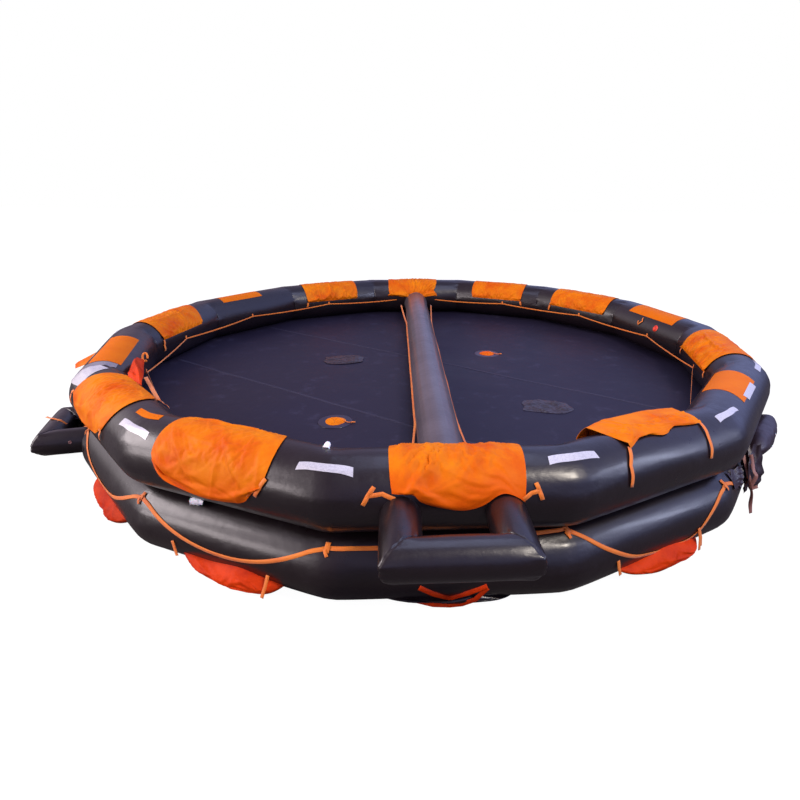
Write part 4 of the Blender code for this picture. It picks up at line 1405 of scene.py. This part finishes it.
def on_tube_strip(ring, segment, places, width, lift=0.003):
    """Webbing laid on a ring tube through (along, angle) places, a little off its skin."""
    step, (along, angle) = through(places, 7 * (len(places) - 1) + 1)
    wander = lift + 0.004 * np.sin(step * math.pi) ** 2
    path = on_tube(ring, segment, along, angle, wander)
    outer = on_tube(ring, segment, along, angle, lift + 0.05)
    return strip("tie", path, unit(outer - path), width, WEBBING_THICKNESS)


def hung_strip(segment, places, width):
    """Webbing that hangs free through (along, outward from the centre line, z) places, faced outward."""
    along, outward, z = through(places, 8 * (len(places) - 1) + 1)[1]
    path = segment_place(segment, along, -(APOTHEM + outward), z)
    outer = segment_place(segment, along, -(APOTHEM + outward) - 0.05, z + 0.01)
    return strip("tie", path, unit(outer - path), width, WEBBING_THICKNESS)


ties = []
for segment, paths in TIES.items():
    ties += [on_tube_strip("upper_tube", segment, places, TIE_WIDTH, 0.008) for places in paths]
for segment in LOWER_POCKETS:
    ties += [hung_strip(segment, places, TIE_WIDTH) for places in OTHER_LOWER_TIES.get(segment, LOWER_TIES)]
for segment in range(SEGMENTS):
    angle = ANCHOR_ANGLE + RAISED_ANCHORS.get(segment, 0.0)
    tabs = (
        ((HALF_LENGTH, angle + 8.0), (HALF_LENGTH, angle - 7.0)),
        ((HALF_LENGTH - 0.008, angle - 2.0), (HALF_LENGTH + 0.004, angle - 12.0)),
    )
    ties += [on_tube_strip("lower_tube", segment, places, TAB_WIDTH * (1.0 - 0.35 * n), 0.0045 + 0.002 * n)
             for n, places in enumerate(tabs)]
add_piece(join_pieces("webbing_ties", ties), webbing, "webbing")


# Front mouth straps: the front lower pocket lies flat under the tube, and at its mouth a strap hangs
# down from two places on the tube to a point, with a ribbon of nylon along the ground. Both are drawn
# in the nylon's deep red-orange copy, as painted shade.
FRONT_MOUTH = (
    (-0.167, 0.220, 0.182), (-0.089, 0.210, 0.129), (0.000, 0.172, 0.068), (0.090, 0.210, 0.129),
    (0.187, 0.220, 0.178),
)
FRONT_RIBBON = (
    (-0.190, 0.140, 0.034), (-0.090, 0.168, 0.024), (0.000, 0.174, 0.022), (0.066, 0.170, 0.024),
    (0.130, 0.204, 0.080), (0.188, 0.222, 0.168),
)
MOUTH_STRAP_WIDTH = 0.026
mouth = []
for places in (FRONT_MOUTH, FRONT_RIBBON):
    x, outward, z = through(places, 41)[1]
    path = segment_place(0, x, -(APOTHEM + outward), z)
    facing = np.zeros_like(path) + (0.0, -0.9, 0.4)
    mouth.append(strip("mouth", path, facing, MOUTH_STRAP_WIDTH, WEBBING_THICKNESS))
add_piece(join_pieces("front_mouth_straps", mouth), shaded_nylon, "webbing")


# Position light: a small clear-domed white lamp glued on top of the upper ring, with its battery in
# a white pouch tied in the crease between the rings.
def turned(name, base, axis, profile, sides=32):
    """Turned solid: a profile of (radius, height) points round an axis from its base, ends closed."""
    axis = Vector(axis).normalized()
    frame_turn = np.array(axis.to_track_quat("Z", "Y").to_matrix())
    profile = np.array(profile, float)
    turn = np.linspace(0.0, 2.0 * math.pi, sides + 1)[None, :]
    local = np.stack(
        np.broadcast_arrays(profile[:, :1] * np.cos(turn), profile[:, :1] * np.sin(turn), profile[:, 1:]),
        axis=-1,
    )
    points = local @ frame_turn.T + np.array(base)
    return merge_doubles(grid_mesh(name, points, local[..., :2], wrap=(False, True)))


def outward_way(ring, segment, along, angle):
    """Direction straight out of a ring tube's skin at a place."""
    inner = on_tube(ring, segment, np.array(along), angle)
    return unit(on_tube(ring, segment, np.array(along), angle, 0.05) - inner)


# Moulded polyethylene: clean white, a little translucent.
white_plastic, tree, shader = new_material("white moulded polyethylene")
shader.inputs["Base Color"].default_value = linear("#eeeef2")
shader.inputs["Roughness"].default_value = 0.32
shader.inputs["Subsurface Weight"].default_value = 0.2
shader.inputs["Subsurface Scale"].default_value = 0.01

LAMP_ALONG = 0.545
LAMP_ANGLE = 104.0
lamp_base = on_tube("upper_tube", 13, np.array(LAMP_ALONG), LAMP_ANGLE, 0.0)
LAMP_PROFILE = (
    (0.0, -0.001), (0.0195, -0.001), (0.0195, 0.004), (0.0170, 0.006), (0.0160, 0.010), (0.0165, 0.012),
    (0.0160, 0.020), (0.0140, 0.0275), (0.0100, 0.0330), (0.0050, 0.0355), (0.0, 0.0360),
)
lamp = turned("lamp_dome", lamp_base, outward_way("upper_tube", 13, LAMP_ALONG, LAMP_ANGLE), LAMP_PROFILE)
add_piece(lamp, white_plastic, "white_plastic", "position_light")

POUCH_HALF_LENGTH = 0.048
POUCH_HALF_WIDTH = 0.026
low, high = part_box("light_battery")
middle = np.array((low + high) / 2.0)
heading = 2.0 * HALF_ANGLE * 13
along_way = np.array([math.cos(heading), math.sin(heading), 0.0])
out_way = np.array([math.sin(heading), -math.cos(heading), 0.0])
u = np.linspace(-1.0, 1.0, 30)[:, None]
v = np.linspace(-1.0, 1.0, 22)[None, :]
half_width = POUCH_HALF_WIDTH * (1.0 - 0.55 * np.clip(u, 0.0, 1.0) ** 1.3) * (1.0 + 0.12 * np.sin(9.0 * u))
side = u * POUCH_HALF_LENGTH + 0.005 * v
tall = v * half_width + 0.006 * u
swell = 0.014 * (1.0 - v ** 2) * (1.0 - 0.6 * u ** 2)
deep = swell + 0.002 * np.sin(6.0 * u + 4.0 * v) + 0.008 * np.abs(u) ** 3
up_way = np.array([0.0, 0.0, 1.0])
points = middle + side[..., None] * along_way
points = points + (deep - 0.004)[..., None] * out_way + tall[..., None] * up_way
pouch = grid_mesh("battery_pouch", points, np.stack([side, tall], axis=-1))
add_skin(pouch, 0.004, offset=-1.0)
add_piece(pouch, white_plastic, "white_plastic", "light_battery")


# Topping-up valve: a red plastic ring and cap glued to the upper ring's inner side, with a loop of
# webbing beside it to keep its pump's hose.
valve_plastic, tree, shader = new_material("red moulded plastic")
shader.inputs["Base Color"].default_value = linear("#d8361c")
shader.inputs["Roughness"].default_value = 0.38
VALVE_PROFILE = (
    (0.0, 0.009), (0.014, 0.009), (0.017, 0.010), (0.0185, 0.0125), (0.0215, 0.0135), (0.0235, 0.0120),
    (0.0260, 0.0050), (0.0320, 0.0035), (0.0335, 0.0020), (0.0335, -0.0010), (0.0, -0.0010),
)
VALVE_ALONG = -0.190
VALVE_ANGLE = 156.0
valve_base = on_tube("upper_tube", 4, np.array(VALVE_ALONG), VALVE_ANGLE, 0.0)
valve_way = outward_way("upper_tube", 4, VALVE_ALONG, VALVE_ANGLE)
valve = turned("valve_ring", valve_base, valve_way, VALVE_PROFILE[::-1])
add_piece(valve, valve_plastic, "valve_plastic", "topping_up_valve")
HOSE_LOOP = ((0.069, 140.0), (0.045, 150.0), (0.085, 162.0), (0.110, 152.0))
HOSE_LOOP_WIDTH = 0.014
hose_loop = on_tube_strip("upper_tube", 4, HOSE_LOOP, HOSE_LOOP_WIDTH, 0.006)
hose_loop.name = "hose_loop"
add_piece(hose_loop, webbing, "webbing")


# Floor drains: a ring of paler film welded to the floor, and in it a short orange fabric sleeve that
# is pinched shut and tied with a cord, so it lies as a puckered disc.
DRAIN_PATCH = 0.130
DRAIN_SLEEVE = 0.080
DRAIN_RISE = 0.0255

# Clear vinyl film over the floor: bluish, glossier than the nylon under it.
clear_film, tree, shader = new_material("translucent vinyl film")
place = add_node(tree, "ShaderNodeTexCoord").outputs["Object"]
cloudy = add_node(tree, "ShaderNodeTexNoise", {"Scale": 22.0, "Detail": 6.0}, {"Vector": place})
shade = add_node(tree, "ShaderNodeMix", {"data_type": "RGBA"}, {"Factor": cloudy.outputs["Fac"]})
shade.inputs[6].default_value = linear("#191624")
shade.inputs[7].default_value = linear("#2b2840")
tree.links.new(shade.outputs[2], shader.inputs["Base Color"])
shader.inputs["Roughness"].default_value = 0.3


def drain_film(name, centre):
    """Thin round film with a soft edge."""
    radius = np.array([0.0, 0.3, 0.6, 0.85, 0.96, 1.0, 1.0])[:, None] * DRAIN_PATCH
    rise = np.array([0.0022, 0.0022, 0.0022, 0.0020, 0.0016, 0.0008, -0.0015])[:, None]
    turn = np.linspace(0.0, 2.0 * math.pi, 65)[None, :]
    x = centre[0] + radius * np.cos(turn)
    y = centre[1] + radius * np.sin(turn)
    points = np.stack(np.broadcast_arrays(x, y, FLOOR_Z + rise), axis=-1)
    return merge_doubles(grid_mesh(name, points, points[..., :2], wrap=(False, True)))


def drain_sleeve(name, centre, seed):
    """Puckered disc: height falls from the pinch to the rim, with folds as waves of the angle."""
    draw = np.random.default_rng(seed)
    share = np.linspace(0.0, 1.0, 26)[:, None]
    turn = np.linspace(0.0, 2.0 * math.pi, 97)[None, :]
    folds = sum(
        np.sin(n * turn + draw.uniform(0.0, 6.0)) / (1.0 + 0.3 * i)
        for i, n in enumerate((5, 8, 13, 19))
    )
    radius = DRAIN_SLEEVE * share * (1.0 - 0.08 * (1.0 + np.sin(3.0 * turn + seed)) / 2.0)
    slit = np.exp(-((radius * np.cos(turn - 1.2)) / 0.006) ** 2) * np.clip(1.0 - share * 1.4, 0.0, 1.0)
    dome = 0.0185 * (1.0 - share ** 2.4) * (0.55 + 0.45 * share ** 0.3)
    rise = dome + 0.0022 * folds * share * (1.0 - share) * 3.0
    rise = np.clip(0.0030 + rise - 0.012 * slit, 0.0012, DRAIN_RISE)
    x = centre[0] + radius * np.cos(turn)
    y = centre[1] + radius * np.sin(turn)
    points = np.stack(np.broadcast_arrays(x, y, FLOOR_Z + rise), axis=-1)
    sleeve = merge_doubles(grid_mesh(name, points, points[..., :2], wrap=(False, True)))
    return add_skin(sleeve, 0.0012)


CORD_RADIUS = 0.0035
CORD_TURNS = np.linspace(0, 2 * math.pi, 9)[:-1]
CORD_SECTION = [(CORD_RADIUS * math.cos(t), CORD_RADIUS * math.sin(t)) for t in CORD_TURNS]
for side, seed in (("left", 4), ("right", 8)):
    low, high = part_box(f"floor_drain_{side}")
    centre = ((low.x + high.x) / 2.0, (low.y + high.y) / 2.0)
    film = drain_film(f"drain_film_{side}", centre)
    add_piece(film, clear_film, "drain_fabric")
    sleeve = drain_sleeve(f"drain_pucker_{side}", centre, seed)
    add_piece(sleeve, pocket_nylon, "drain_fabric", f"floor_drain_{side}")
    share = np.linspace(0.0, 1.0, 24)
    path = np.stack([
        centre[0] + 0.030 + 0.095 * share,
        centre[1] + 0.010 - 0.050 * share + 0.008 * np.sin(share * 7.0),
        FLOOR_Z + 0.0065 + 0.014 * (1.0 - share) ** 2,
    ], axis=-1)
    heading_way = unit(np.gradient(path, axis=0))
    up = np.zeros_like(path) + (0.0, 0.0, 1.0)
    side_way = unit(np.cross(heading_way, up))
    tie = swept(f"drain_tie_{side}", path, side_way, np.cross(side_way, heading_way), CORD_SECTION)
    toggle_path = np.stack([path[-1] + (step, 0.004 * step, 0.002) for step in (0.0, 0.010, 0.020, 0.028)])
    level_side = np.zeros_like(toggle_path) + (0.0, 1.0, 0.0)
    toggle_up = np.zeros_like(toggle_path) + (0.0, 0.0, 1.0)
    wide = [(1.9 * a, 1.5 * b) for a, b in CORD_SECTION]
    toggle = swept("toggle", toggle_path, level_side, toggle_up, wide)
    add_piece(join_pieces(f"drain_strap_{side}", [tie, toggle]), webbing, "webbing")


# Spare drain sleeves: two folded packs of the dark coated fabric, welded flat to the floor by one
# side and crumpled over the rest.
PACK_RISE = 0.027
PACK_SIZE = (0.40, 0.28)

# The packs' thin coated nylon: brown-black, more glossy than the floor, and sharply crumpled.
pack_fabric, tree, shader = new_material("brown-black coated nylon")
place = add_node(tree, "ShaderNodeTexCoord").outputs["Object"]
patches = add_node(tree, "ShaderNodeTexNoise", {"Scale": 14.0, "Detail": 6.0}, {"Vector": place})
shade = add_node(tree, "ShaderNodeMix", {"data_type": "RGBA"}, {"Factor": patches.outputs["Fac"]})
shade.inputs[6].default_value = linear("#141014")
shade.inputs[7].default_value = linear("#3a2c32")
tree.links.new(shade.outputs[2], shader.inputs["Base Color"])
shader.inputs["Roughness"].default_value = 0.34
crumple = add_node(
    tree,
    "ShaderNodeTexVoronoi",
    {"feature": "F1", "Scale": 34.0},
    {"Vector": place},
)
soft = add_node(
    tree,
    "ShaderNodeBump",
    {"Strength": 0.8, "Distance": 0.006},
    {"Height": crumple.outputs["Distance"]},
)
tree.links.new(soft.outputs["Normal"], shader.inputs["Normal"])


def tent_folds(a, b, seed, count, width):
    """Sum of creases: each is a tent across a straight line, that fades out along it as a bell.

    A line starts near the middle, heads any way, and its tent is 1 high on it and 0 at its width.
    """
    draw = np.random.default_rng(seed)
    total = np.zeros(np.broadcast(a, b).shape)
    for _ in range(count):
        x, y = draw.uniform(-0.8, 0.8, 2)
        way = draw.uniform(0.0, math.pi)
        wide = width * draw.uniform(0.6, 1.6)
        over = (a - x) * math.sin(way) - (b - y) * math.cos(way)
        along = (a - x) * math.cos(way) + (b - y) * math.sin(way)
        tent = np.clip(1.0 - np.abs(over) / wide, 0.0, 1.0)
        total += tent * np.exp(-((along / 0.8) ** 2)) * draw.uniform(0.4, 1.0)
    return total


def fabric_pack(name, middle, turn_degrees, width, length, seed):
    """Crumpled flat pack: an oblong with pulled corners, raised in creases and flat at its edges."""
    u = np.linspace(-1.0, 1.0, 64)[:, None]
    v = np.linspace(-1.0, 1.0, 46)[None, :]
    edge = np.clip((1.0 - np.maximum(np.abs(u), np.abs(v))) / 0.22, 0.0, 1.0)
    rise = tent_folds(u, v, seed, 16, 0.26)
    rise = 0.0035 + (PACK_RISE - 0.005) * np.clip(rise / 2.6, 0.0, 1.0) * edge ** 0.7
    pulled_x = u * width / 2.0 * (1.0 - 0.16 * np.abs(v) ** 2 * (1.0 + np.sign(u) * 0.6))
    pulled_y = v * length / 2.0 * (1.0 - 0.20 * np.abs(u) ** 2)
    x = pulled_x + 0.010 * np.sin(4.0 * v + seed)
    y = pulled_y + 0.012 * np.sin(3.0 * u + seed) * (1.0 - np.abs(v) * 0.5)
    turn = math.radians(turn_degrees)
    points = np.stack([
        middle[0] + x * math.cos(turn) - y * math.sin(turn),
        middle[1] + x * math.sin(turn) + y * math.cos(turn),
        FLOOR_Z + rise,
    ], axis=-1)
    pack = grid_mesh(name, points, np.stack([x, y], axis=-1))
    return add_skin(pack, 0.0018)


for side, turn_degrees, seed in (("left", 8.0, 12), ("right", -12.0, 15)):
    low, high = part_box(f"drain_sleeve_{side}")
    middle = ((low.x + high.x) / 2.0, (low.y + high.y) / 2.0)
    pack = fabric_pack(f"sleeve_pack_{side}", middle, turn_degrees, *PACK_SIZE, seed)
    add_piece(pack, pack_fabric, "tube_fabric", f"drain_sleeve_{side}")


# Gas cylinder: it lies in the crease between the rings, laced into a cover of thin glossy fabric.
# The cover's loose end hangs over the lower ring in crumpled flaps, with brown tapes and eyelets.
COVER_SEGMENT = 2
COVER_RADIUS = 0.090
low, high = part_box("gas_cylinder")
COVER_Z = (low.z + high.z) / 2.0 + 0.022
COVER_ENDS = (-0.170, 0.470)
COVER_OUT = APOTHEM + TUBE_RADIUS + 0.020


def cover_body():
    """Laced cover: a round-ended bolster whose section is a soft oval, with creases round and along."""
    share = np.linspace(0.0, 1.0, 70)[:, None]
    turn = np.linspace(0.0, 2.0 * math.pi, 73)[None, :]
    power = np.where(share < 0.5, 3.5, 14.0)
    ends = (1.0 - np.abs(2.0 * share - 1.0) ** power) ** 0.5
    along = COVER_ENDS[0] + (COVER_ENDS[1] - COVER_ENDS[0]) * share
    folds = tent_folds(share * 4.0 - 2.0, np.sin(turn), 5, 26, 0.30)
    swell = 0.86 + 0.05 * np.clip(folds, 0.0, 2.5) + 0.02 * np.sin(5.0 * turn + 9.0 * share)
    radius = COVER_RADIUS * ends * swell
    outward = radius * np.cos(turn) * 1.04
    up = radius * np.sin(turn) * (1.0 + 0.05 * np.sin(7.0 * share))
    points = segment_place(COVER_SEGMENT, along, -(COVER_OUT + outward), COVER_Z + up)
    spread = np.stack(np.broadcast_arrays(along, turn * COVER_RADIUS), axis=-1)
    return merge_doubles(grid_mesh("cylinder_cover", points, spread, wrap=(False, True)))


# Thin black polyester with a glossy coating: purple in the light, pinkish where it is creased.
cover_fabric, tree, shader = new_material("glossy purple-black polyester")
place = add_node(tree, "ShaderNodeTexCoord").outputs["Object"]
patches = add_node(
    tree,
    "ShaderNodeTexNoise",
    {"Scale": 11.0, "Detail": 7.0, "Roughness": 0.7},
    {"Vector": place},
)
shade = add_node(tree, "ShaderNodeMix", {"data_type": "RGBA"}, {"Factor": patches.outputs["Fac"]})
shade.inputs[6].default_value = linear("#0d090e")
shade.inputs[7].default_value = linear("#3a2833")
tree.links.new(shade.outputs[2], shader.inputs["Base Color"])
shader.inputs["Roughness"].default_value = 0.42
crumple = add_node(tree, "ShaderNodeTexVoronoi", {"feature": "F1", "Scale": 26.0}, {"Vector": place})
fine = add_node(tree, "ShaderNodeTexNoise", {"Scale": 60.0, "Detail": 5.0}, {"Vector": place})
small = add_node(
    tree,
    "ShaderNodeBump",
    {"Strength": 0.4, "Distance": 0.002},
    {"Height": fine.outputs["Fac"]},
)
soft = add_node(
    tree,
    "ShaderNodeBump",
    {"Strength": 0.45, "Distance": 0.004},
    {"Height": crumple.outputs["Distance"], "Normal": small.outputs["Normal"]},
)
tree.links.new(soft.outputs["Normal"], shader.inputs["Normal"])
add_piece(cover_body(), cover_fabric, "tube_fabric", "gas_cylinder")


def tube_side(z):
    """How far out of the rings' centre line their skin is at a height, the larger of the two."""
    reach = [np.sqrt(np.maximum(TUBE_RADIUS ** 2 - (z - centre) ** 2, 0.0)) for centre in (LOWER_Z, UPPER_Z)]
    return np.maximum(*reach)


def hanging_flap(name, left_edge, right_edge, seed, crease):
    """Loose flap of cover fabric between two edges of (along, outward, z) places, from its top down.

    Its threads run straight from edge to edge. Creases stand out along the raft's side, towards the
    front, and where the flap would pass into a tube it lies on it.
    """
    u = np.linspace(0.0, 1.0, 30)[:, None]
    v = np.linspace(0.0, 1.0, 44)[None, :]
    knots = np.linspace(0.0, 1.0, len(left_edge))
    left_edge, right_edge = np.array(left_edge), np.array(right_edge)
    along, outward, up = (
        np.interp(v, knots, left_edge[:, axis]) * (1.0 - u) + np.interp(v, knots, right_edge[:, axis]) * u
        for axis in range(3)
    )
    outward = outward + 0.004 * np.sin(23.0 * v + seed) * (2.0 * u - 1.0)
    up = up + 0.006 * np.sin(17.0 * u + seed)
    folds = tent_folds(2.4 * u - 1.2, 2.0 * v - 1.0, seed, 16, 0.42) * crease
    outward = np.maximum(outward, tube_side(up) + 0.007)
    points = segment_place(COVER_SEGMENT, along - folds, -(APOTHEM + outward), up)
    spread = np.stack(np.broadcast_arrays(outward, up), axis=-1)
    flap = grid_mesh(name, points, spread)
    return add_skin(flap, 0.0014, offset=1.0), points


FLAPS = (
    (
        ((-0.17, 0.150, 0.495), (-0.20, 0.175, 0.330), (-0.23, 0.215, 0.225)),
        ((-0.17, 0.262, 0.510), (-0.20, 0.318, 0.320), (-0.23, 0.305, 0.215)),
        3,
        0.026,
    ),
    (
        ((-0.22, 0.190, 0.440), (-0.25, 0.215, 0.300), (-0.29, 0.232, 0.200)),
        ((-0.22, 0.245, 0.430), (-0.25, 0.270, 0.290), (-0.29, 0.240, 0.190)),
        6,
        0.018,
    ),
    (
        ((-0.50, 0.110, 0.392), (-0.52, 0.140, 0.350), (-0.55, 0.150, 0.318)),
        ((-0.33, 0.190, 0.400), (-0.37, 0.215, 0.345), (-0.41, 0.225, 0.290)),
        8,
        0.010,
    ),
)
for count, (left_edge, right_edge, seed, crease) in enumerate(FLAPS):
    flap, points = hanging_flap(f"cover_flap_{count}", left_edge, right_edge, seed, crease)
    add_piece(flap, cover_fabric, "tube_fabric")
    across = np.linalg.norm(np.diff(points, axis=0), axis=-1).sum(axis=0).mean()
    down = np.linalg.norm(np.diff(points, axis=1), axis=-1).sum(axis=1).mean()
    threads = np.cross(np.diff(points, axis=0)[:, :-1], np.diff(points, axis=1)[:-1])

# Cover tapes: brown woven polyester, sewn to the flaps; one hangs down to a pointed end.
brown_webbing, tree, shader = new_material("brown polyester tape")
shader.inputs["Base Color"].default_value = linear("#8d5f56")
shader.inputs["Roughness"].default_value = 0.5
COVER_TAPE_WIDTH = 0.024
COVER_TAPES = (
    (
        (-0.24, 0.170, 0.450), (-0.27, 0.200, 0.400), (-0.29, 0.235, 0.330), (-0.31, 0.262, 0.270),
        (-0.33, 0.285, 0.210), (-0.33, 0.290, 0.130), (-0.33, 0.305, 0.070),
    ),
    (
        (-0.24, 0.222, 0.450), (-0.28, 0.262, 0.355), (-0.30, 0.286, 0.335), (-0.32, 0.262, 0.235),
        (-0.30, 0.305, 0.262),
    ),
)
tapes = []
for places in COVER_TAPES:
    step, (along, outward, up) = through(places, 8 * (len(places) - 1) + 1)
    for _ in range(3):
        for row in (along, outward, up):
            row[1:-1] = 0.25 * row[:-2] + 0.5 * row[1:-1] + 0.25 * row[2:]
    path = segment_place(COVER_SEGMENT, along, -(APOTHEM + outward), up)
    twist = 0.8 * np.sin(step * 1.3)
    facing = segment_place(COVER_SEGMENT, -np.cos(twist), -np.sin(twist), 0.15)
    facing = facing - np.array([RING_X, RING_Y, 0.0])
    tapes.append(strip("tape", path, facing, COVER_TAPE_WIDTH, WEBBING_THICKNESS))
add_piece(join_pieces("cover_tapes", tapes), brown_webbing, "webbing")

EYELET_PROFILE = ((0.0, 0.0), (0.0062, 0.0), (0.0075, 0.0015), (0.0062, 0.0030), (0.0, 0.0020))
eyelets = []
for along, up in ((0.16, 0.030), (0.02, -0.010)):
    base = segment_place(COVER_SEGMENT, np.array(along), -(COVER_OUT + COVER_RADIUS * 0.95), COVER_Z + up)
    way = segment_place(COVER_SEGMENT, np.array(0.0), -1.0, 0.2) - np.array([RING_X, RING_Y, 0.0])
    eyelets.append(turned("eyelet", base, way, EYELET_PROFILE, 16))
add_piece(join_pieces("cover_eyelets", eyelets), white_plastic, "white_plastic")


# Silver band: a wide patch of reflective film over the mitre before the left pocket. Its part next to
# the marking panel is drawn in a darker grey copy of the film as painted shade, and the brighter
# part overlaps that one.
painted_shade_film = recoloured(silver_film, "retroreflective film in painted shade", "#8f8c94", "#79767f")
BANDS = (
    ("silver_band_in_shade", painted_shade_film, ((0.495, 122.0), (0.600, 122.0)), ((0.475, 40.0), (0.610, 42.0)), 0.0010),
    ("silver_band", silver_film, ((0.590, 96.0), (0.710, 104.0)), ((0.590, 34.0), (0.800, 42.0)), 0.0018),
)
for name, film, first, last, lift in BANDS:
    band = on_tube_patch(name, "upper_tube", 11, (first, last), lift, 60, 22)
    add_skin(band, TAPE_SKIN, offset=1.0)
    add_piece(band, film, "white_plastic")


# Pocket flap: the left pocket's spare cloth, which stands up from its inner corner between two curved
# edges, with a loop of webbing on its tip and a stay strap down to the tube.
LOOP_WIDTH = 0.016
STAY_WIDTH = 0.026
FLAP_EDGES = (
    ((12, -0.270, 122.0, 0.008), (12, -0.400, 128.0, 0.020), (11, 0.285, 140.0, 0.050)),
    ((12, -0.085, 131.0, 0.008), (12, -0.300, 150.0, 0.045), (11, 0.185, 153.0, 0.045)),
)
edges = []
for edge in FLAP_EDGES:
    way = np.array([on_tube("upper_tube", k, np.array(a), b, lift) for k, a, b, lift in edge])
    t = np.linspace(0.0, 1.0, 36)[:, None]
    edges.append(way[0] * (1 - t) ** 2 + way[1] * 2.0 * t * (1 - t) + way[2] * t ** 2)
share = np.linspace(0.0, 1.0, 24)[:, None, None]
points = edges[0][None] * (1.0 - share) + edges[1][None] * share
a = 2.0 * share[..., 0] - 1.0
b = np.linspace(-1.0, 1.0, 36)[None, :]
lift = 0.030 * tent_folds(a, b, 9, 9, 0.5)
points[..., 2] += lift * np.clip(1.0 - np.abs(b) ** 6, 0.0, 1.0)
spread = np.stack(np.broadcast_arrays(0.1 * a, 0.2 * b), axis=-1)
flap = grid_mesh("pocket_flap", points, spread, flip=True)
add_skin(flap, POCKET_CLOTH, offset=1.0)
# The flap is drawn in the nylon's deep red-orange copy, as painted shade.
add_piece(flap, shaded_nylon, "pocket_fabric")
flap_length = np.linalg.norm(np.diff(points[12], axis=0), axis=1).sum()
flap_width = np.linalg.norm(np.diff(points[:, 18], axis=0), axis=1).sum()
turn = np.linspace(-0.4, 2.0 * math.pi - 0.9, 30)
tip = edges[1][-1] + (0.010, 0.0, 0.022)
path = tip + np.stack([0.020 * np.cos(turn), 0.012 * np.sin(turn), 0.030 * np.sin(turn)], axis=-1)
loop = strip("flap_loop", path, np.zeros_like(path) + (0.2, -1.0, 0.3), LOOP_WIDTH, WEBBING_THICKNESS)
stay_ends = (edges[1][18] + (0.010, 0.0, -0.01), on_tube("upper_tube", 12, np.array(0.262), 131.0, 0.006))
t = np.linspace(0.0, 1.0, 20)[:, None]
path = stay_ends[0] * (1 - t) + stay_ends[1] * t
stay = strip("stay", path, np.zeros_like(path) + (0.44, -0.84, 0.31), STAY_WIDTH, WEBBING_THICKNESS)
add_piece(join_pieces("flap_webbing", [loop, stay]), webbing, "webbing")


# Spare corner: a folded corner of pocket cloth, sewn to the outer side of the upper ring behind the
# left marking panel, sticks out past the tube.
CORNER_SEWN = ((0.060, 52.0, 0.002), (0.270, 38.0, 0.002))
CORNER_TIPS = ((0.115, 24.0, 0.070), (0.180, 17.0, 0.066))
u = np.linspace(0.0, 1.0, 18)[:, None]
v = np.linspace(0.0, 1.0, 18)[None, :]
ends = [on_tube("upper_tube", 11, np.array(a), b, lift) for a, b, lift in CORNER_SEWN + CORNER_TIPS]
rows = [ends[2 * k] * (1.0 - u[..., None]) + ends[2 * k + 1] * u[..., None] for k in (0, 1)]
points = rows[0] * (1.0 - v[..., None]) + rows[1] * v[..., None]
fold = 0.012 * (1.0 - np.abs(2.0 * u - 1.0)) * v
points = points + fold[..., None] * outward_way("upper_tube", 11, 0.15, 60.0)
corner_width = np.linalg.norm(ends[1] - ends[0])
corner_length = np.linalg.norm(ends[2] - ends[0])
spread = np.stack(np.broadcast_arrays(u * corner_width, v * corner_length), axis=-1)
spare = grid_mesh("spare_corner", points, spread, flip=True)
add_skin(spare, POCKET_CLOTH, offset=1.0)
add_piece(spare, pocket_nylon, "pocket_fabric")


# Left ramp's rigging: a taut triangle of dark fabric fills its outer corner, and the ends of the
# lashing that holds it show as orange webbing with a small ring.
RAMP_SEGMENT = 11
RAMP_Z = LOWER_Z + LEFT_RAMP_OFFSET
WEB_SIDE = 0.150
LASH_WIDTH = 0.022
LASHINGS = (
    (
        (-0.110, -3.308, 0.088), (-0.065, -3.275, 0.092), (0.000, -3.225, 0.109), (0.030, -3.160, 0.098),
        (0.045, -3.118, 0.064),
    ),
    ((0.235, -2.930, 0.108), (0.262, -2.900, 0.112), (0.290, -2.880, 0.108)),
)
u = np.linspace(0.0, 1.0, 20)[:, None]
v = np.linspace(0.0, 1.0, 20)[None, :]
corner = (-RAMP_HALF_WIDTH + 0.060, -RAMP_REACH + 0.060)
x = corner[0] + WEB_SIDE * u * (1.0 - v)
y = corner[1] + WEB_SIDE * v
z = RAMP_Z + 0.045 - 0.020 * np.sin(math.pi * u) * np.sin(math.pi * v)
points = segment_place(RAMP_SEGMENT, x, y, z)
web = merge_doubles(grid_mesh("ramp_web", points, points[..., :2]))
add_skin(web, 0.0014, offset=1.0)
add_piece(web, tube_fabric, "tube_fabric")
lash = []
for places in LASHINGS:
    x, y, z = through(places, 8 * (len(places) - 1) + 1)[1]
    path = segment_place(RAMP_SEGMENT, x, y, RAMP_Z + z)
    lash.append(strip("lash", path, np.zeros_like(path) + (0.0, 0.0, 1.0), LASH_WIDTH, WEBBING_THICKNESS))
add_piece(join_pieces("ramp_lashing", lash), webbing, "webbing")
eye_along = np.array(RAMP_HALF_WIDTH + RAMP_RADIUS * 0.93)
eye_base = segment_place(RAMP_SEGMENT, eye_along, -3.020, RAMP_Z + 0.028)
eye_way = segment_place(RAMP_SEGMENT, np.array(1.0), 0.0, 0.3) - np.array([RING_X, RING_Y, 0.0])
EYE_PROFILE = ((0.0, -0.002), (0.013, -0.002), (0.013, 0.003), (0.008, 0.004), (0.006, 0.001), (0.0, 0.001))
eye = turned("ramp_eye", eye_base, eye_way, EYE_PROFILE, 24)
add_piece(eye, brown_webbing, "webbing")
